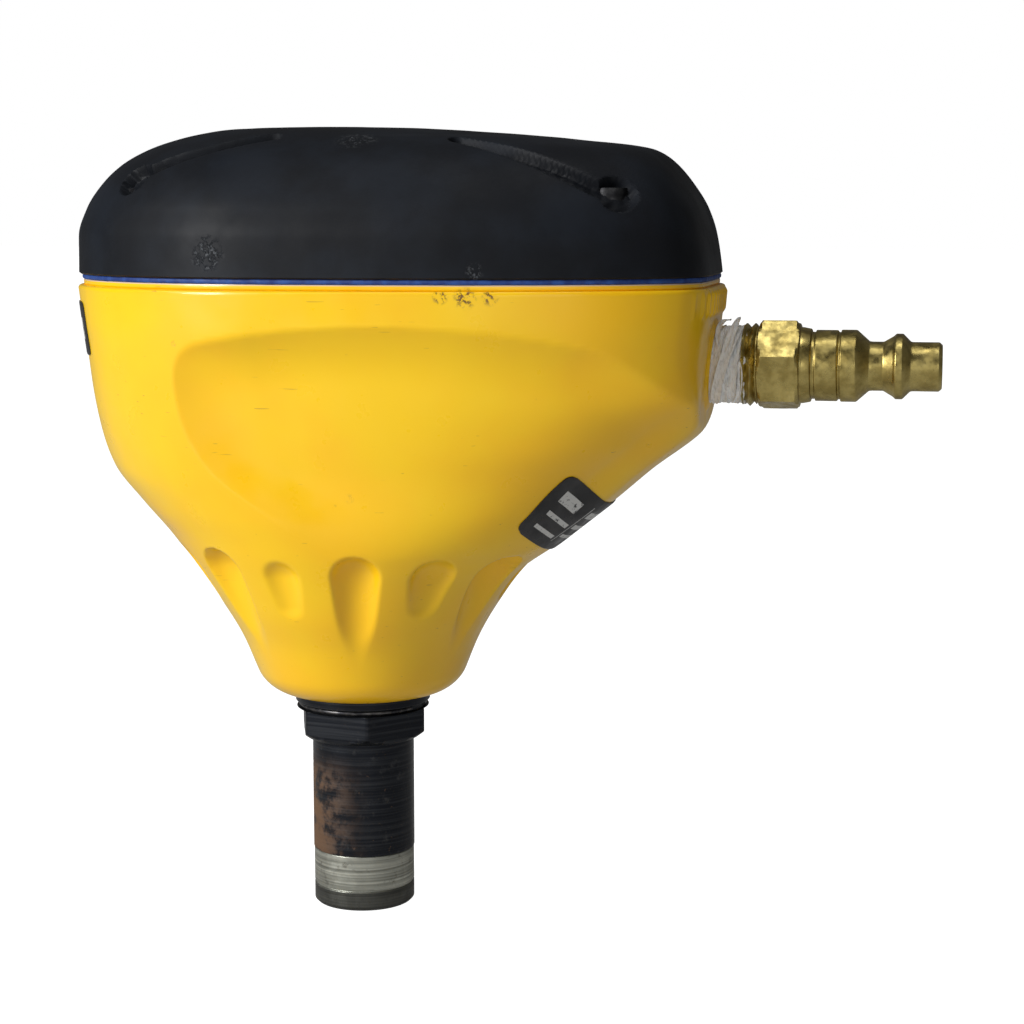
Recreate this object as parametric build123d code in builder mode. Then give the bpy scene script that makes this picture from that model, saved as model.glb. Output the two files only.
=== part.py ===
from build123d import *
import os
from math import cos, pi, radians, sin

# Pneumatic palm nailer, millimetres.
# +Z runs up the drive axis, +X points along the air plug, and the origin is the centre of the nose opening.

# ---- Driving dimensions ------
BODY_BASE_Z = 38.0  # underside of the housing's neck
BODY_TOP_Z = 108.8  # shoulder at the top of the housing
LIP_TOP_Z = 109.8  # machined lip that the gasket lies on
GASKET_TOP_Z = 110.6  # underside of the head cap and of the grip
CAP_TOP_Z = 135.1  # top of the palm grip

LIP_INSET = 0.9  # lip in from the housing's side
GASKET_INSET = 1.2  # gasket in from the housing's side
WALL_INSET = 5.5  # reservoir wall in from the housing's side
GRIP_THICKNESS = 3.0  # rubber over the head cap
CAP_WALL = 3.0  # wall of the head cap

INLET_Z = 95.8  # axis of the air inlet
END_FACE_X = 60.8  # inlet end face, on the inlet's axis
END_LEAN_DEG = 5.0  # the end face leans outward towards its top

BORE_R = 13.0  # piston bore
SLEEVE_R = 15.5  # outside of the cylinder sleeve
SLEEVE_BASE_Z = 88.0
SLEEVE_TOP_Z = 123.0
BOSS_R = 19.5  # bosses that hold the sleeve in the housing and in the head cap
BUMPER_TOP_Z = 92.0
PISTON_TOP_Z = 101.0
DRIVER_R = 5.0
SPIGOT_R = 3.5  # driver's spigot inside the piston
DRIVER_TIP_Z = 17.5  # driver tip with the piston down on its bumper

NOSE_BORE_R = 10.2  # bore in the neck for the nose flange and its spring
BUSHING_R = 10.8
BUSHING_BASE_Z = 80.0

TUBE_R = 8.9  # outside of the telescoping nose
TUBE_BORE_R = 6.3
NAIL_BORE_R = 6.2  # nail opening in the nose tip
TIP_R = 8.8
TIP_TOP_Z = 9.8
TIP_LIP_Z = 3.4  # bottom lip of the nose tip
SOCKET_R = 7.4  # socket of the nose tip, for the magnet and the tube's spigot
MAGNET_TOP_Z = 6.4
FLANGE_BASE_Z = 50.0
FLANGE_TOP_Z = 53.0
COLLAR_BASE_Z = 29.8
COLLAR_R = 11.3  # round flange of the collar
COLLAR_HEX = 20.6  # across flats, 13/16 in
COLLAR_CORNER_R = 11.8
COLLAR_TURN_DEG = -11.4  # how far the collar was screwed round
COLLAR_TOP_Z = 48.0
SHANK_R = 10.9  # collar's thread in the neck
GROOVE_BASE_Z = 35.2  # snap ring groove of the collar
GROOVE_TOP_Z = 36.3
RUN = 0.05  # radial clearance of a running fit

SCREWS = [(-33.0, 18.9), (-33.0, -18.9), (46.5, 18.9), (46.5, -18.9)]
SCREW_BOSS_R = 5.0
SCREW_BOSS_BASE_Z = 95.0
SCREW_R = 2.0
SCREW_HEAD_R = 3.1
SCREW_SEAT_Z = 121.0  # the washers sit on the head cap here
SCREW_END_Z = 97.0
SEAT_R = 4.2  # spot-faced seat in the head cap
POCKET_R = 3.4  # recess in the rubber above each screw

VALVE_TOP_Z = 129.0
DISC_BASE_Z = 125.1
DISC_TOP_Z = 126.4
DISC_LIFT = 0.9

WASHER_THICKNESS = 0.8
SCREW_HEAD_HEIGHT = 3.0
SCREW_SOCKET_AF = 3.0
SCREW_SOCKET_DEPTH = 1.8
GASKET_HOLE_CLEARANCE = 0.25

LABEL_THICKNESS = 0.3
RATING_LABEL = (40.0, 13.0)  # width across the flank, height along it
END_LABEL = (36.0, 9.0)
END_LABEL_Z = 101.5

FLUTE_COUNT = 14
LONG_FLUTE_DEG = 12.857 - 90  # first long flute, as an angle from +X
LONG_FLUTE = (27.1, 52.5, 4.7, 17.8)  # radius and height of the centre, cutter radius, length of its core
SHORT_FLUTE = (29.9, 57.5, 4.8, 5.2)
FLUTE_TILT_DEG = 17.7  # the flute's floor is steeper than the neck's flare

SEAL_Z = (92.0, 119.0)  # sleeve seals, one in the housing and one in the head cap
SEAL_WIRE_R = 0.8
SEAL_GROOVE_WIDTH = 2.0
AIR_PORT_Z = 104.0  # ring of air ports through the sleeve
AIR_PORT_R = 1.5
AIR_PORT_COUNT = 6

PISTON_GROOVE_Z = 95.5
PISTON_GROOVE_WIDTH = 2.2
PISTON_GROOVE_R = 11.4
ROD_SEAL_R = 6.6  # outside of the rod seal's groove
ROD_SEAL_Z = (83.0, 85.2)

VALVE_SEAT_TOP_Z = 125.0
VALVE_SEAT_BORE_R = 4.0
VALVE_COVER_BORE_R = 2.5
VALVE_DISC_R = 9.4
VALVE_CHAMBER_R = 9.8
VALVE_PORT_R = 1.1
VALVE_PORT_COUNT = 8
VALVE_CLEARANCE = 0.1  # between the valve parts and the walls round them

SPRING_WIRE_R = 0.7
SPRING_TURNS = 5
SPRING_MEAN_R = 9.2
SPRING_SEAT_R = 7.2  # bore of the spring's seat
SPRING_SEAT_Z = BUSHING_BASE_Z - 1.0

HEX_X = (68.9, 75.6)  # the plug's hexagon, along X
HEX_AF = 13.6
HEX_TURN_DEG = 46.6  # how far the hexagon was screwed round
TAPE_X = (47.5, 67.1)  # the sealing tape, along X
PLUG_PASSAGE_R = 2.7
PLUG_TAPE_R = 5.95  # thread under the tape at X = 60
TAPE_OUTER_R = (6.1, 6.69)  # outside of the tape at its inner and outer end
INLET_BOSS_R = 10.0
INLET_BOSS_X = 46.0

# Outline stations of the housing: height, rear reach (-X), front reach (+X),
# half width, X of the widest place.
HOUSING_STATIONS = [
    (BODY_BASE_Z, 16.6, 16.6, 16.6, 0.0),
    (42.0, 18.2, 18.2, 18.2, 0.0),
    (48.0, 20.7, 20.7, 20.7, 0.0),
    (54.0, 24.2, 24.2, 24.0, 0.0),
    (60.0, 28.4, 28.8, 26.8, 0.0),
    (66.0, 32.9, 36.6, 29.2, 0.0),
    (72.0, 38.2, 44.0, 30.8, -1.5),
    (78.0, 43.0, 51.0, 31.4, -3.5),
    (84.0, 45.1, 59.0, 31.8, -5.5),
    (91.0, 46.4, 65.0, 32.6, -7.0),
    (97.0, 47.0, 65.8, 34.4, -8.0),
    (102.5, 47.7, 66.4, 36.4, -8.0),
    (BODY_TOP_Z, 48.5, 66.8, 37.0, -8.0),
]
TOP_OUTLINE = (48.5, 66.8, 37.0, -8.0)
RESERVOIR_FLOOR_Z = 72.0
# Stations of the palm grip's outside, in the same columns.
GRIP_STATIONS = [
    (GASKET_TOP_Z, 48.3, 66.8, 36.8, -8.0),
    (117.0, 48.2, 66.6, 36.5, -8.0),
    (121.5, 46.8, 65.2, 34.9, -8.0),
    (125.5, 44.2, 62.6, 32.2, -8.0),
    (128.8, 40.8, 58.8, 28.8, -8.0),
    (131.2, 36.6, 52.5, 25.0, -7.5),
    (132.9, 32.0, 38.5, 21.0, -7.0),
    (134.1, 27.0, 25.0, 16.8, -6.5),
    (134.8, 21.8, 13.5, 12.4, -6.0),
    (CAP_TOP_Z, 14.5, 4.0, 7.0, -5.5),
]
# The grip's front end in the XZ plane, from its base to its top corner.
GRIP_END = [
    (61.9, 108.0),
    (61.4, 112.0),
    (60.4, 117.0),
    (59.0, 121.5),
    (56.3, 126.0),
    (52.3, 131.0),
    (47.0, 135.4),
]


# ---- Shared profiles ------
def outline(rear, front, half_width, widest_x):
    """Closed egg-shaped plan outline: an elliptical rear, and a fuller curve where the front is long."""
    count = 20
    front_power = 0.87 if front > rear + 3 else 1.0
    points = []
    for i in range(count):
        c = cos(2 * pi * i / count)
        s = sin(2 * pi * i / count)
        power = front_power if c > 0 else 1.0
        reach = front - widest_x if c > 0 else rear + widest_x
        x = widest_x + reach * abs(c) ** power * (1 if c > 0 else -1)
        y = half_width * abs(s) ** power * (1 if s > 0 else -1)
        points.append((x, y))
    Spline(*points, periodic=True)


def outline_at(z, rear, front, half_width, widest_x, inset=0.0):
    """The face inside the plan outline at height z, drawn in by inset."""
    with BuildSketch(Plane.XY.offset(z)) as face:
        with BuildLine():
            outline(rear - inset, front - inset, half_width - inset, widest_x)
        make_face()
    return face.sketch


def lofted(stations, inset=0.0):
    """A smooth solid through the outlines at the given stations."""
    sections = [outline_at(*station, inset=inset).face() for station in stations]
    return loft(sections, mode=Mode.PRIVATE)


def ring(outer_r, inner_r, base_z, top_z):
    """A plain ring about the drive axis, added to the current part."""
    with BuildSketch(Plane.XY.offset(base_z)) as profile:
        Circle(outer_r)
        Circle(inner_r, mode=Mode.SUBTRACT)
    extrude(profile.sketch, amount=top_z - base_z)


def bore(radius, base_z, top_z, places=((0, 0),)):
    """Round holes along Z, cut from the current part."""
    with BuildSketch(Plane.XY.offset(base_z)) as profile:
        with Locations(*places):
            Circle(radius)
    extrude(profile.sketch, amount=top_z - base_z, mode=Mode.SUBTRACT)


def end_plane(shift=0.0):
    """Plane of the inlet end face moved outward by shift, its normal towards +X and slightly down."""
    lean = radians(END_LEAN_DEG)
    return Plane(origin=(END_FACE_X + shift, 0, INLET_Z), x_dir=(0, 1, 0), z_dir=(cos(lean), 0, -sin(lean)))


def trim_end(shift=0.0):
    """Cut the current part off at the inlet end face moved outward by shift."""
    split(bisect_by=end_plane(shift), keep=Keep.BOTTOM)


def trim_dome_end(inset=0.0):
    """Round off the current part's front end along the grip's end profile, drawn in by inset."""
    corner = [(x - inset, z - inset) for x, z in GRIP_END]
    with BuildSketch(Plane.XZ) as beyond:
        with BuildLine():
            Spline(*corner)
            Polyline(corner[-1], (80, corner[-1][1]), (80, corner[0][1]), corner[0])
        make_face()
    extrude(beyond.sketch, amount=60, both=True, mode=Mode.SUBTRACT)


def save(part, name):
    """Label a finished piece and write its STEP file."""
    part.label = name
    export_step(part, f"parts/{name}.step")


os.makedirs("parts", exist_ok=True)

# ---- Housing: cast casing with neck, flutes, waist, reservoir and inlet boss ------
def flute_cutter(centre_r, centre_z, cutter_r, core):
    """A round-ended rod beside the neck, tilted outward towards its top."""
    tilted = Plane(
        origin=(centre_r, 0, centre_z),
        x_dir=(cos(radians(FLUTE_TILT_DEG)), 0, -sin(radians(FLUTE_TILT_DEG))),
        z_dir=(sin(radians(FLUTE_TILT_DEG)), 0, cos(radians(FLUTE_TILT_DEG))),
    )
    with BuildPart(tilted) as cutter:
        with BuildSketch(Plane(tilted.origin, x_dir=tilted.x_dir, z_dir=-tilted.y_dir)):
            SlotOverall(core + 2 * cutter_r, 2 * cutter_r, rotation=90)
            Rectangle(cutter_r + 1, 60, align=(Align.MAX, Align.CENTER), mode=Mode.SUBTRACT)
        revolve(axis=Axis(tilted.origin, tilted.z_dir))
    return cutter.part


long_flute = flute_cutter(*LONG_FLUTE)
short_flute = flute_cutter(*SHORT_FLUTE)
housing_body = lofted(HOUSING_STATIONS)
reservoir_stations = [station for station in HOUSING_STATIONS if station[0] >= RESERVOIR_FLOOR_Z]
reservoir = lofted(reservoir_stations, inset=WALL_INSET)

with BuildPart() as reservoir_void:
    add(reservoir)
    add(outline_at(BODY_TOP_Z, *TOP_OUTLINE, inset=WALL_INSET))
    extrude(amount=5)
    trim_end(-3.4)

with BuildPart() as housing:
    add(housing_body)
    trim_end()
    for i in range(FLUTE_COUNT):
        flute = long_flute if i % 2 == 0 else short_flute
        add(flute.rotate(Axis.Z, LONG_FLUTE_DEG + i * 360 / FLUTE_COUNT), mode=Mode.SUBTRACT)
    # rounded lower rim of the neck
    with BuildSketch(Plane.XZ):
        with BuildLine():
            ThreePointArc((12.6, BODY_BASE_Z), (16.0, BODY_BASE_Z + 1.2), (18.2, BODY_BASE_Z + 4.0))
            Polyline(
                (18.2, BODY_BASE_Z + 4.0),
                (22, BODY_BASE_Z + 4.0),
                (22, BODY_BASE_Z - 2.0),
                (12.6, BODY_BASE_Z - 2.0),
                (12.6, BODY_BASE_Z),
            )
        make_face()
    revolve(axis=Axis.Z, mode=Mode.SUBTRACT)
    # lip for the gasket
    add(outline_at(BODY_TOP_Z, *TOP_OUTLINE, inset=LIP_INSET))
    extrude(amount=LIP_TOP_Z - BODY_TOP_Z)
    trim_end(0.25)
    add(reservoir_void.part, mode=Mode.SUBTRACT)
    # boss that holds the cylinder sleeve, standing on the reservoir floor
    ring(BOSS_R, SLEEVE_R, RESERVOIR_FLOOR_Z - 1, SLEEVE_BASE_Z + 9)
    # screw bosses, kept inside the casing's own outline
    with BuildSketch(Plane.XY.offset(SCREW_BOSS_BASE_Z)):
        with Locations(*SCREWS):
            Circle(SCREW_BOSS_R)
    extrude(amount=LIP_TOP_Z - SCREW_BOSS_BASE_Z)
    # inlet boss behind the end face
    with BuildSketch(Plane.YZ.offset(INLET_BOSS_X)):
        with Locations((0, INLET_Z)):
            Circle(INLET_BOSS_R)
    extrude(amount=END_FACE_X - 2 - INLET_BOSS_X)
    bore(SCREW_R, SCREW_END_Z, LIP_TOP_Z, SCREWS)
    # stepped bore along the drive axis: collar thread, nose chamber, bushing seat and sleeve seat
    bore(SHANK_R, BODY_BASE_Z, COLLAR_TOP_Z)
    bore(NOSE_BORE_R, COLLAR_TOP_Z, BUSHING_BASE_Z)
    bore(BUSHING_R, BUSHING_BASE_Z, SLEEVE_BASE_Z)
    bore(SLEEVE_R, SLEEVE_BASE_Z, LIP_TOP_Z)
    # tapered inlet thread, 1 in 16 on diameter
    with BuildSketch(Plane.XZ):
        with BuildLine():
            Polyline(
                (44, INLET_Z),
                (64, INLET_Z),
                (64, INLET_Z + 6.6),
                (44, INLET_Z + 6.0),
                close=True,
            )
        make_face()
    revolve(axis=Axis((0, 0, INLET_Z), (1, 0, 0)), mode=Mode.SUBTRACT)
save(housing.part, "housing")

# ---- Cylinder sleeve with its seals ------
with BuildPart() as cylinder_sleeve:
    ring(SLEEVE_R, BORE_R, SLEEVE_BASE_Z, SLEEVE_TOP_Z)
    for z in SEAL_Z:
        with BuildSketch(Plane.XY.offset(z - SEAL_GROOVE_WIDTH / 2)):
            Circle(SLEEVE_R + 1)
            Circle(SLEEVE_R - 2 * SEAL_WIRE_R, mode=Mode.SUBTRACT)
        extrude(amount=SEAL_GROOVE_WIDTH, mode=Mode.SUBTRACT)
    for i in range(AIR_PORT_COUNT):
        angle = 2 * pi * i / AIR_PORT_COUNT
        with BuildSketch(Plane(origin=(0, 0, AIR_PORT_Z), z_dir=(cos(angle), sin(angle), 0))):
            Circle(AIR_PORT_R)
        extrude(amount=SLEEVE_R + 1, mode=Mode.SUBTRACT)
save(cylinder_sleeve.part, "cylinder_sleeve")

with BuildPart() as sleeve_seals:
    with BuildSketch(Plane.XZ):
        with Locations(*[(SLEEVE_R - SEAL_WIRE_R, z) for z in SEAL_Z]):
            Circle(SEAL_WIRE_R - 0.02)
    revolve(axis=Axis.Z)
save(sleeve_seals.part, "sleeve_seals")

# ---- Driver group: piston, its ring and the driver rod ------
with BuildPart() as piston:
    ring(BORE_R - 0.08, SPIGOT_R, BUMPER_TOP_Z, PISTON_TOP_Z)
    with BuildSketch(Plane.XY.offset(PISTON_GROOVE_Z)):
        Circle(BORE_R)
        Circle(PISTON_GROOVE_R, mode=Mode.SUBTRACT)
    extrude(amount=PISTON_GROOVE_WIDTH, mode=Mode.SUBTRACT)
    chamfer(piston.edges().group_by(Axis.Z)[-1].sort_by(SortBy.RADIUS)[-1], length=0.6)
save(piston.part, "piston")

with BuildPart() as piston_ring:
    groove_top_z = PISTON_GROOVE_Z + PISTON_GROOVE_WIDTH
    ring(BORE_R - RUN, PISTON_GROOVE_R + 0.1, PISTON_GROOVE_Z + 0.1, groove_top_z - 0.1)
save(piston_ring.part, "piston_ring")

with BuildPart() as driver:
    with BuildSketch(Plane.XZ):
        with BuildLine():
            Polyline(
                (0, DRIVER_TIP_Z),
                (DRIVER_R - 0.5, DRIVER_TIP_Z),
                (DRIVER_R, DRIVER_TIP_Z + 0.5),
                (DRIVER_R, BUMPER_TOP_Z),
                (SPIGOT_R, BUMPER_TOP_Z),
                (SPIGOT_R, PISTON_TOP_Z),
                (0, PISTON_TOP_Z),
                close=True,
            )
        make_face()
    revolve(axis=Axis.Z)
save(driver.part, "driver")

# ---- Bumper, rod bushing and rod seal ------
with BuildPart() as bumper:
    ring(BORE_R - 0.1, DRIVER_R + 0.6, SLEEVE_BASE_Z, BUMPER_TOP_Z)
save(bumper.part, "bumper")

with BuildPart() as rod_bushing:
    ring(BUSHING_R, DRIVER_R + RUN, BUSHING_BASE_Z, SLEEVE_BASE_Z)
    bore(ROD_SEAL_R, *ROD_SEAL_Z)
save(rod_bushing.part, "rod_bushing")

with BuildPart() as rod_seal:
    ring(ROD_SEAL_R - RUN, DRIVER_R + RUN, ROD_SEAL_Z[0] + RUN, ROD_SEAL_Z[1] - RUN)
save(rod_seal.part, "rod_seal")

# ---- Head valve: seat, lifting disc, cover and cushion ------
with BuildPart() as valve_seat:
    ring(SLEEVE_R - VALVE_CLEARANCE, VALVE_SEAT_BORE_R, SLEEVE_TOP_Z, VALVE_SEAT_TOP_Z)
    with BuildSketch(Plane.XY.offset(SLEEVE_TOP_Z)):
        with PolarLocations(11.8, VALVE_PORT_COUNT):
            Circle(VALVE_PORT_R)
    extrude(amount=VALVE_SEAT_TOP_Z - SLEEVE_TOP_Z, mode=Mode.SUBTRACT)
save(valve_seat.part, "valve_seat")

with BuildPart() as valve_disc:
    with BuildSketch(Plane.XY.offset(DISC_BASE_Z)):
        Circle(VALVE_DISC_R)
    extrude(amount=DISC_TOP_Z - DISC_BASE_Z)
save(valve_disc.part, "valve_disc")

with BuildPart() as valve_cover:
    ring(SLEEVE_R - VALVE_CLEARANCE, VALVE_COVER_BORE_R, VALVE_SEAT_TOP_Z, VALVE_TOP_Z)
    bore(VALVE_CHAMBER_R, VALVE_SEAT_TOP_Z, DISC_TOP_Z + DISC_LIFT + VALVE_CLEARANCE)
    with BuildSketch(Plane.XY.offset(VALVE_SEAT_TOP_Z)):
        with PolarLocations(12.6, VALVE_PORT_COUNT, start_angle=22.5):
            Circle(VALVE_PORT_R)
    extrude(amount=VALVE_TOP_Z - VALVE_SEAT_TOP_Z, mode=Mode.SUBTRACT)
save(valve_cover.part, "valve_cover")

with BuildPart() as valve_cushion:
    ring(14.5, 10.5, VALVE_TOP_Z, VALVE_TOP_Z + 1)
save(valve_cushion.part, "valve_cushion")

# ---- Nose group: telescoping tube, tip, magnet, spring and its seats ------
with BuildPart() as nose_tube:
    with BuildSketch(Plane.XZ):
        with BuildLine():
            Polyline(
                (TUBE_BORE_R, MAGNET_TOP_Z),
                (SOCKET_R, MAGNET_TOP_Z),
                (SOCKET_R, TIP_TOP_Z),
                (TUBE_R, TIP_TOP_Z),
                (TUBE_R, FLANGE_BASE_Z),
                (NOSE_BORE_R - RUN, FLANGE_BASE_Z),
                (NOSE_BORE_R - RUN, FLANGE_TOP_Z),
                (TUBE_BORE_R + 0.6, FLANGE_TOP_Z),
                (TUBE_BORE_R, FLANGE_TOP_Z - 1),
                close=True,
            )
        make_face()
    revolve(axis=Axis.Z)
save(nose_tube.part, "nose_tube")

with BuildPart() as nose_tip:
    ring(TIP_R, NAIL_BORE_R, 0, TIP_LIP_Z)
    ring(TIP_R, SOCKET_R, TIP_LIP_Z, TIP_TOP_Z)
    chamfer(nose_tip.edges().group_by(Axis.Z)[0].sort_by(SortBy.RADIUS)[-1], length=0.5)
    # fine scribed line round the tip
    with BuildSketch(Plane.XY.offset(3.5)):
        Circle(TIP_R + 1)
        Circle(TIP_R - 0.2, mode=Mode.SUBTRACT)
    extrude(amount=0.25, mode=Mode.SUBTRACT)
save(nose_tip.part, "nose_tip")

with BuildPart() as nose_magnet:
    ring(SOCKET_R - 0.02, TUBE_BORE_R + 0.2, TIP_LIP_Z, MAGNET_TOP_Z)
save(nose_magnet.part, "nose_magnet")

with BuildPart() as nose_spring:
    rise = SPRING_SEAT_Z - FLANGE_TOP_Z - 2 * SPRING_WIRE_R - 0.1
    with BuildLine(Plane.XY.offset(FLANGE_TOP_Z + SPRING_WIRE_R + 0.05)):
        coil = Helix(pitch=rise / SPRING_TURNS, height=rise, radius=SPRING_MEAN_R)
    with BuildSketch(Plane(origin=coil @ 0, z_dir=coil % 0)):
        Circle(SPRING_WIRE_R)
    sweep(path=coil, is_frenet=True)
save(nose_spring.part, "nose_spring")

with BuildPart() as spring_seat:
    ring(NOSE_BORE_R - RUN, SPRING_SEAT_R, SPRING_SEAT_Z, BUSHING_BASE_Z)
save(spring_seat.part, "spring_seat")

with BuildPart() as nose_stop_washer:
    ring(NOSE_BORE_R - RUN, TUBE_R + 0.3, COLLAR_TOP_Z, FLANGE_BASE_Z - RUN)
save(nose_stop_washer.part, "nose_stop_washer")

# ---- Collar with its snap ring ------
with BuildPart() as nose_collar:
    with BuildSketch(Plane.XY.offset(COLLAR_BASE_Z)):
        RegularPolygon(COLLAR_HEX / 2, 6, major_radius=False, rotation=COLLAR_TURN_DEG)
        Circle(COLLAR_CORNER_R, mode=Mode.INTERSECT)
    extrude(amount=GROOVE_BASE_Z - COLLAR_BASE_Z)
    # turned chamfer on the hex's lower end
    with BuildSketch(Plane.XZ):
        with BuildLine():
            Polyline(
                (TUBE_R, COLLAR_BASE_Z - 0.2),
                (9.9, COLLAR_BASE_Z - 0.2),
                (12.6, COLLAR_BASE_Z + 2.4),
                (12.6, COLLAR_BASE_Z - 9),
                (TUBE_R, COLLAR_BASE_Z - 9),
                close=True,
            )
        make_face()
    revolve(axis=Axis.Z, mode=Mode.SUBTRACT)
    ring(COLLAR_R - 1.0, TUBE_R, GROOVE_BASE_Z, GROOVE_TOP_Z)
    ring(COLLAR_R, TUBE_R, GROOVE_TOP_Z, BODY_BASE_Z)
    ring(SHANK_R, TUBE_R, BODY_BASE_Z, COLLAR_TOP_Z)
    bore(TUBE_R + RUN, COLLAR_BASE_Z, COLLAR_TOP_Z)
save(nose_collar.part, "nose_collar")

with BuildPart() as collar_snap_ring:
    with BuildSketch(Plane.XZ):
        with Locations((COLLAR_R - 0.52, (GROOVE_BASE_Z + GROOVE_TOP_Z) / 2)):
            Circle(0.45)
    revolve(axis=Axis.Z, revolution_arc=335)
save(collar_snap_ring.part, "collar_snap_ring")

# ---- Head cap, its gasket, the rubber palm grip and the screws ------
with BuildPart() as cap_gasket:
    add(outline_at(LIP_TOP_Z, *TOP_OUTLINE, inset=GASKET_INSET))
    extrude(amount=GASKET_TOP_Z - LIP_TOP_Z)
    trim_end(-GASKET_INSET + LIP_INSET)
    add(reservoir_void.part, mode=Mode.SUBTRACT)
    with BuildSketch(Plane.XY.offset(LIP_TOP_Z)):
        with Locations(*SCREWS):
            Circle(SCREW_BOSS_R)
    extrude(amount=GASKET_TOP_Z - LIP_TOP_Z)
    bore(SCREW_R + GASKET_HOLE_CLEARANCE, LIP_TOP_Z, GASKET_TOP_Z, SCREWS)
save(cap_gasket.part, "cap_gasket")

grip_dome = lofted(GRIP_STATIONS)
cap_dome_stations = [(max(z - GRIP_THICKNESS, GASKET_TOP_Z), *rest) for z, *rest in GRIP_STATIONS]
cap_dome = lofted([cap_dome_stations[0]] + cap_dome_stations[2:], inset=GRIP_THICKNESS)
CAP_CEILING_Z = VALVE_TOP_Z + 1
BOSS_TOP_Z = CAP_CEILING_Z + 0.5
cavity_stations = [(z - CAP_WALL, *rest) for z, *rest in cap_dome_stations[2:5]]
cap_cavity = lofted([(GASKET_TOP_Z - 1, *TOP_OUTLINE)] + cavity_stations, inset=GRIP_THICKNESS + CAP_WALL)

with BuildPart() as cap_void:
    add(cap_cavity)
    trim_dome_end(GRIP_THICKNESS + CAP_WALL)

with BuildPart() as cap_solid:
    add(cap_dome)
    trim_dome_end(GRIP_THICKNESS)

with BuildPart() as head_cap:
    add(cap_solid.part)
    add(cap_void.part, mode=Mode.SUBTRACT)
    # boss over the cylinder sleeve and the valve
    ring(BOSS_R, SLEEVE_R, GASKET_TOP_Z + 1.5, BOSS_TOP_Z)
    bore(SLEEVE_R, GASKET_TOP_Z, CAP_CEILING_Z)
    with BuildSketch(Plane.XY.offset(GASKET_TOP_Z)):
        with Locations(*SCREWS):
            Circle(SCREW_BOSS_R)
    extrude(amount=SCREW_SEAT_Z - GASKET_TOP_Z)
    bore(SEAT_R, SCREW_SEAT_Z, CAP_TOP_Z, SCREWS)
    bore(SCREW_R + GASKET_HOLE_CLEARANCE, GASKET_TOP_Z, SCREW_SEAT_Z, SCREWS)
save(head_cap.part, "head_cap")

with BuildPart() as palm_grip:
    add(grip_dome)
    trim_dome_end()
    add(cap_solid.part, mode=Mode.SUBTRACT)
    bore(SCREW_BOSS_R, GASKET_TOP_Z, SCREW_SEAT_Z, SCREWS)
    bore(BOSS_R, GASKET_TOP_Z, BOSS_TOP_Z)
    bore(POCKET_R, SCREW_SEAT_Z, CAP_TOP_Z, SCREWS)
save(palm_grip.part, "palm_grip")

with BuildPart() as cap_washers:
    with BuildSketch(Plane.XY.offset(SCREW_SEAT_Z)):
        with Locations(*SCREWS):
            Circle(SCREW_HEAD_R + 0.3)
            Circle(SCREW_R + 0.1, mode=Mode.SUBTRACT)
    extrude(amount=WASHER_THICKNESS)
save(cap_washers.part, "cap_washers")

HEAD_BASE_Z = SCREW_SEAT_Z + WASHER_THICKNESS
with BuildPart() as cap_screws:
    with BuildSketch(Plane.XY.offset(SCREW_END_Z + 0.5)):
        with Locations(*SCREWS):
            Circle(SCREW_R)
    extrude(amount=HEAD_BASE_Z - SCREW_END_Z - 0.5)
    with BuildSketch(Plane.XY.offset(HEAD_BASE_Z)):
        with Locations(*SCREWS):
            Circle(SCREW_HEAD_R)
    extrude(amount=SCREW_HEAD_HEIGHT)
    with BuildSketch(Plane.XY.offset(HEAD_BASE_Z + SCREW_HEAD_HEIGHT - SCREW_SOCKET_DEPTH)):
        with Locations(*SCREWS):
            RegularPolygon(SCREW_SOCKET_AF / 2, 6, major_radius=False)
    extrude(amount=SCREW_SOCKET_DEPTH, mode=Mode.SUBTRACT)
save(cap_screws.part, "cap_screws")

# ---- Air plug and its sealing tape ------
def thread_r(x):
    """Radius of the tapered pipe thread under the tape, 1 in 16 on diameter."""
    return PLUG_TAPE_R + (x - 60) / 32


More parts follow.
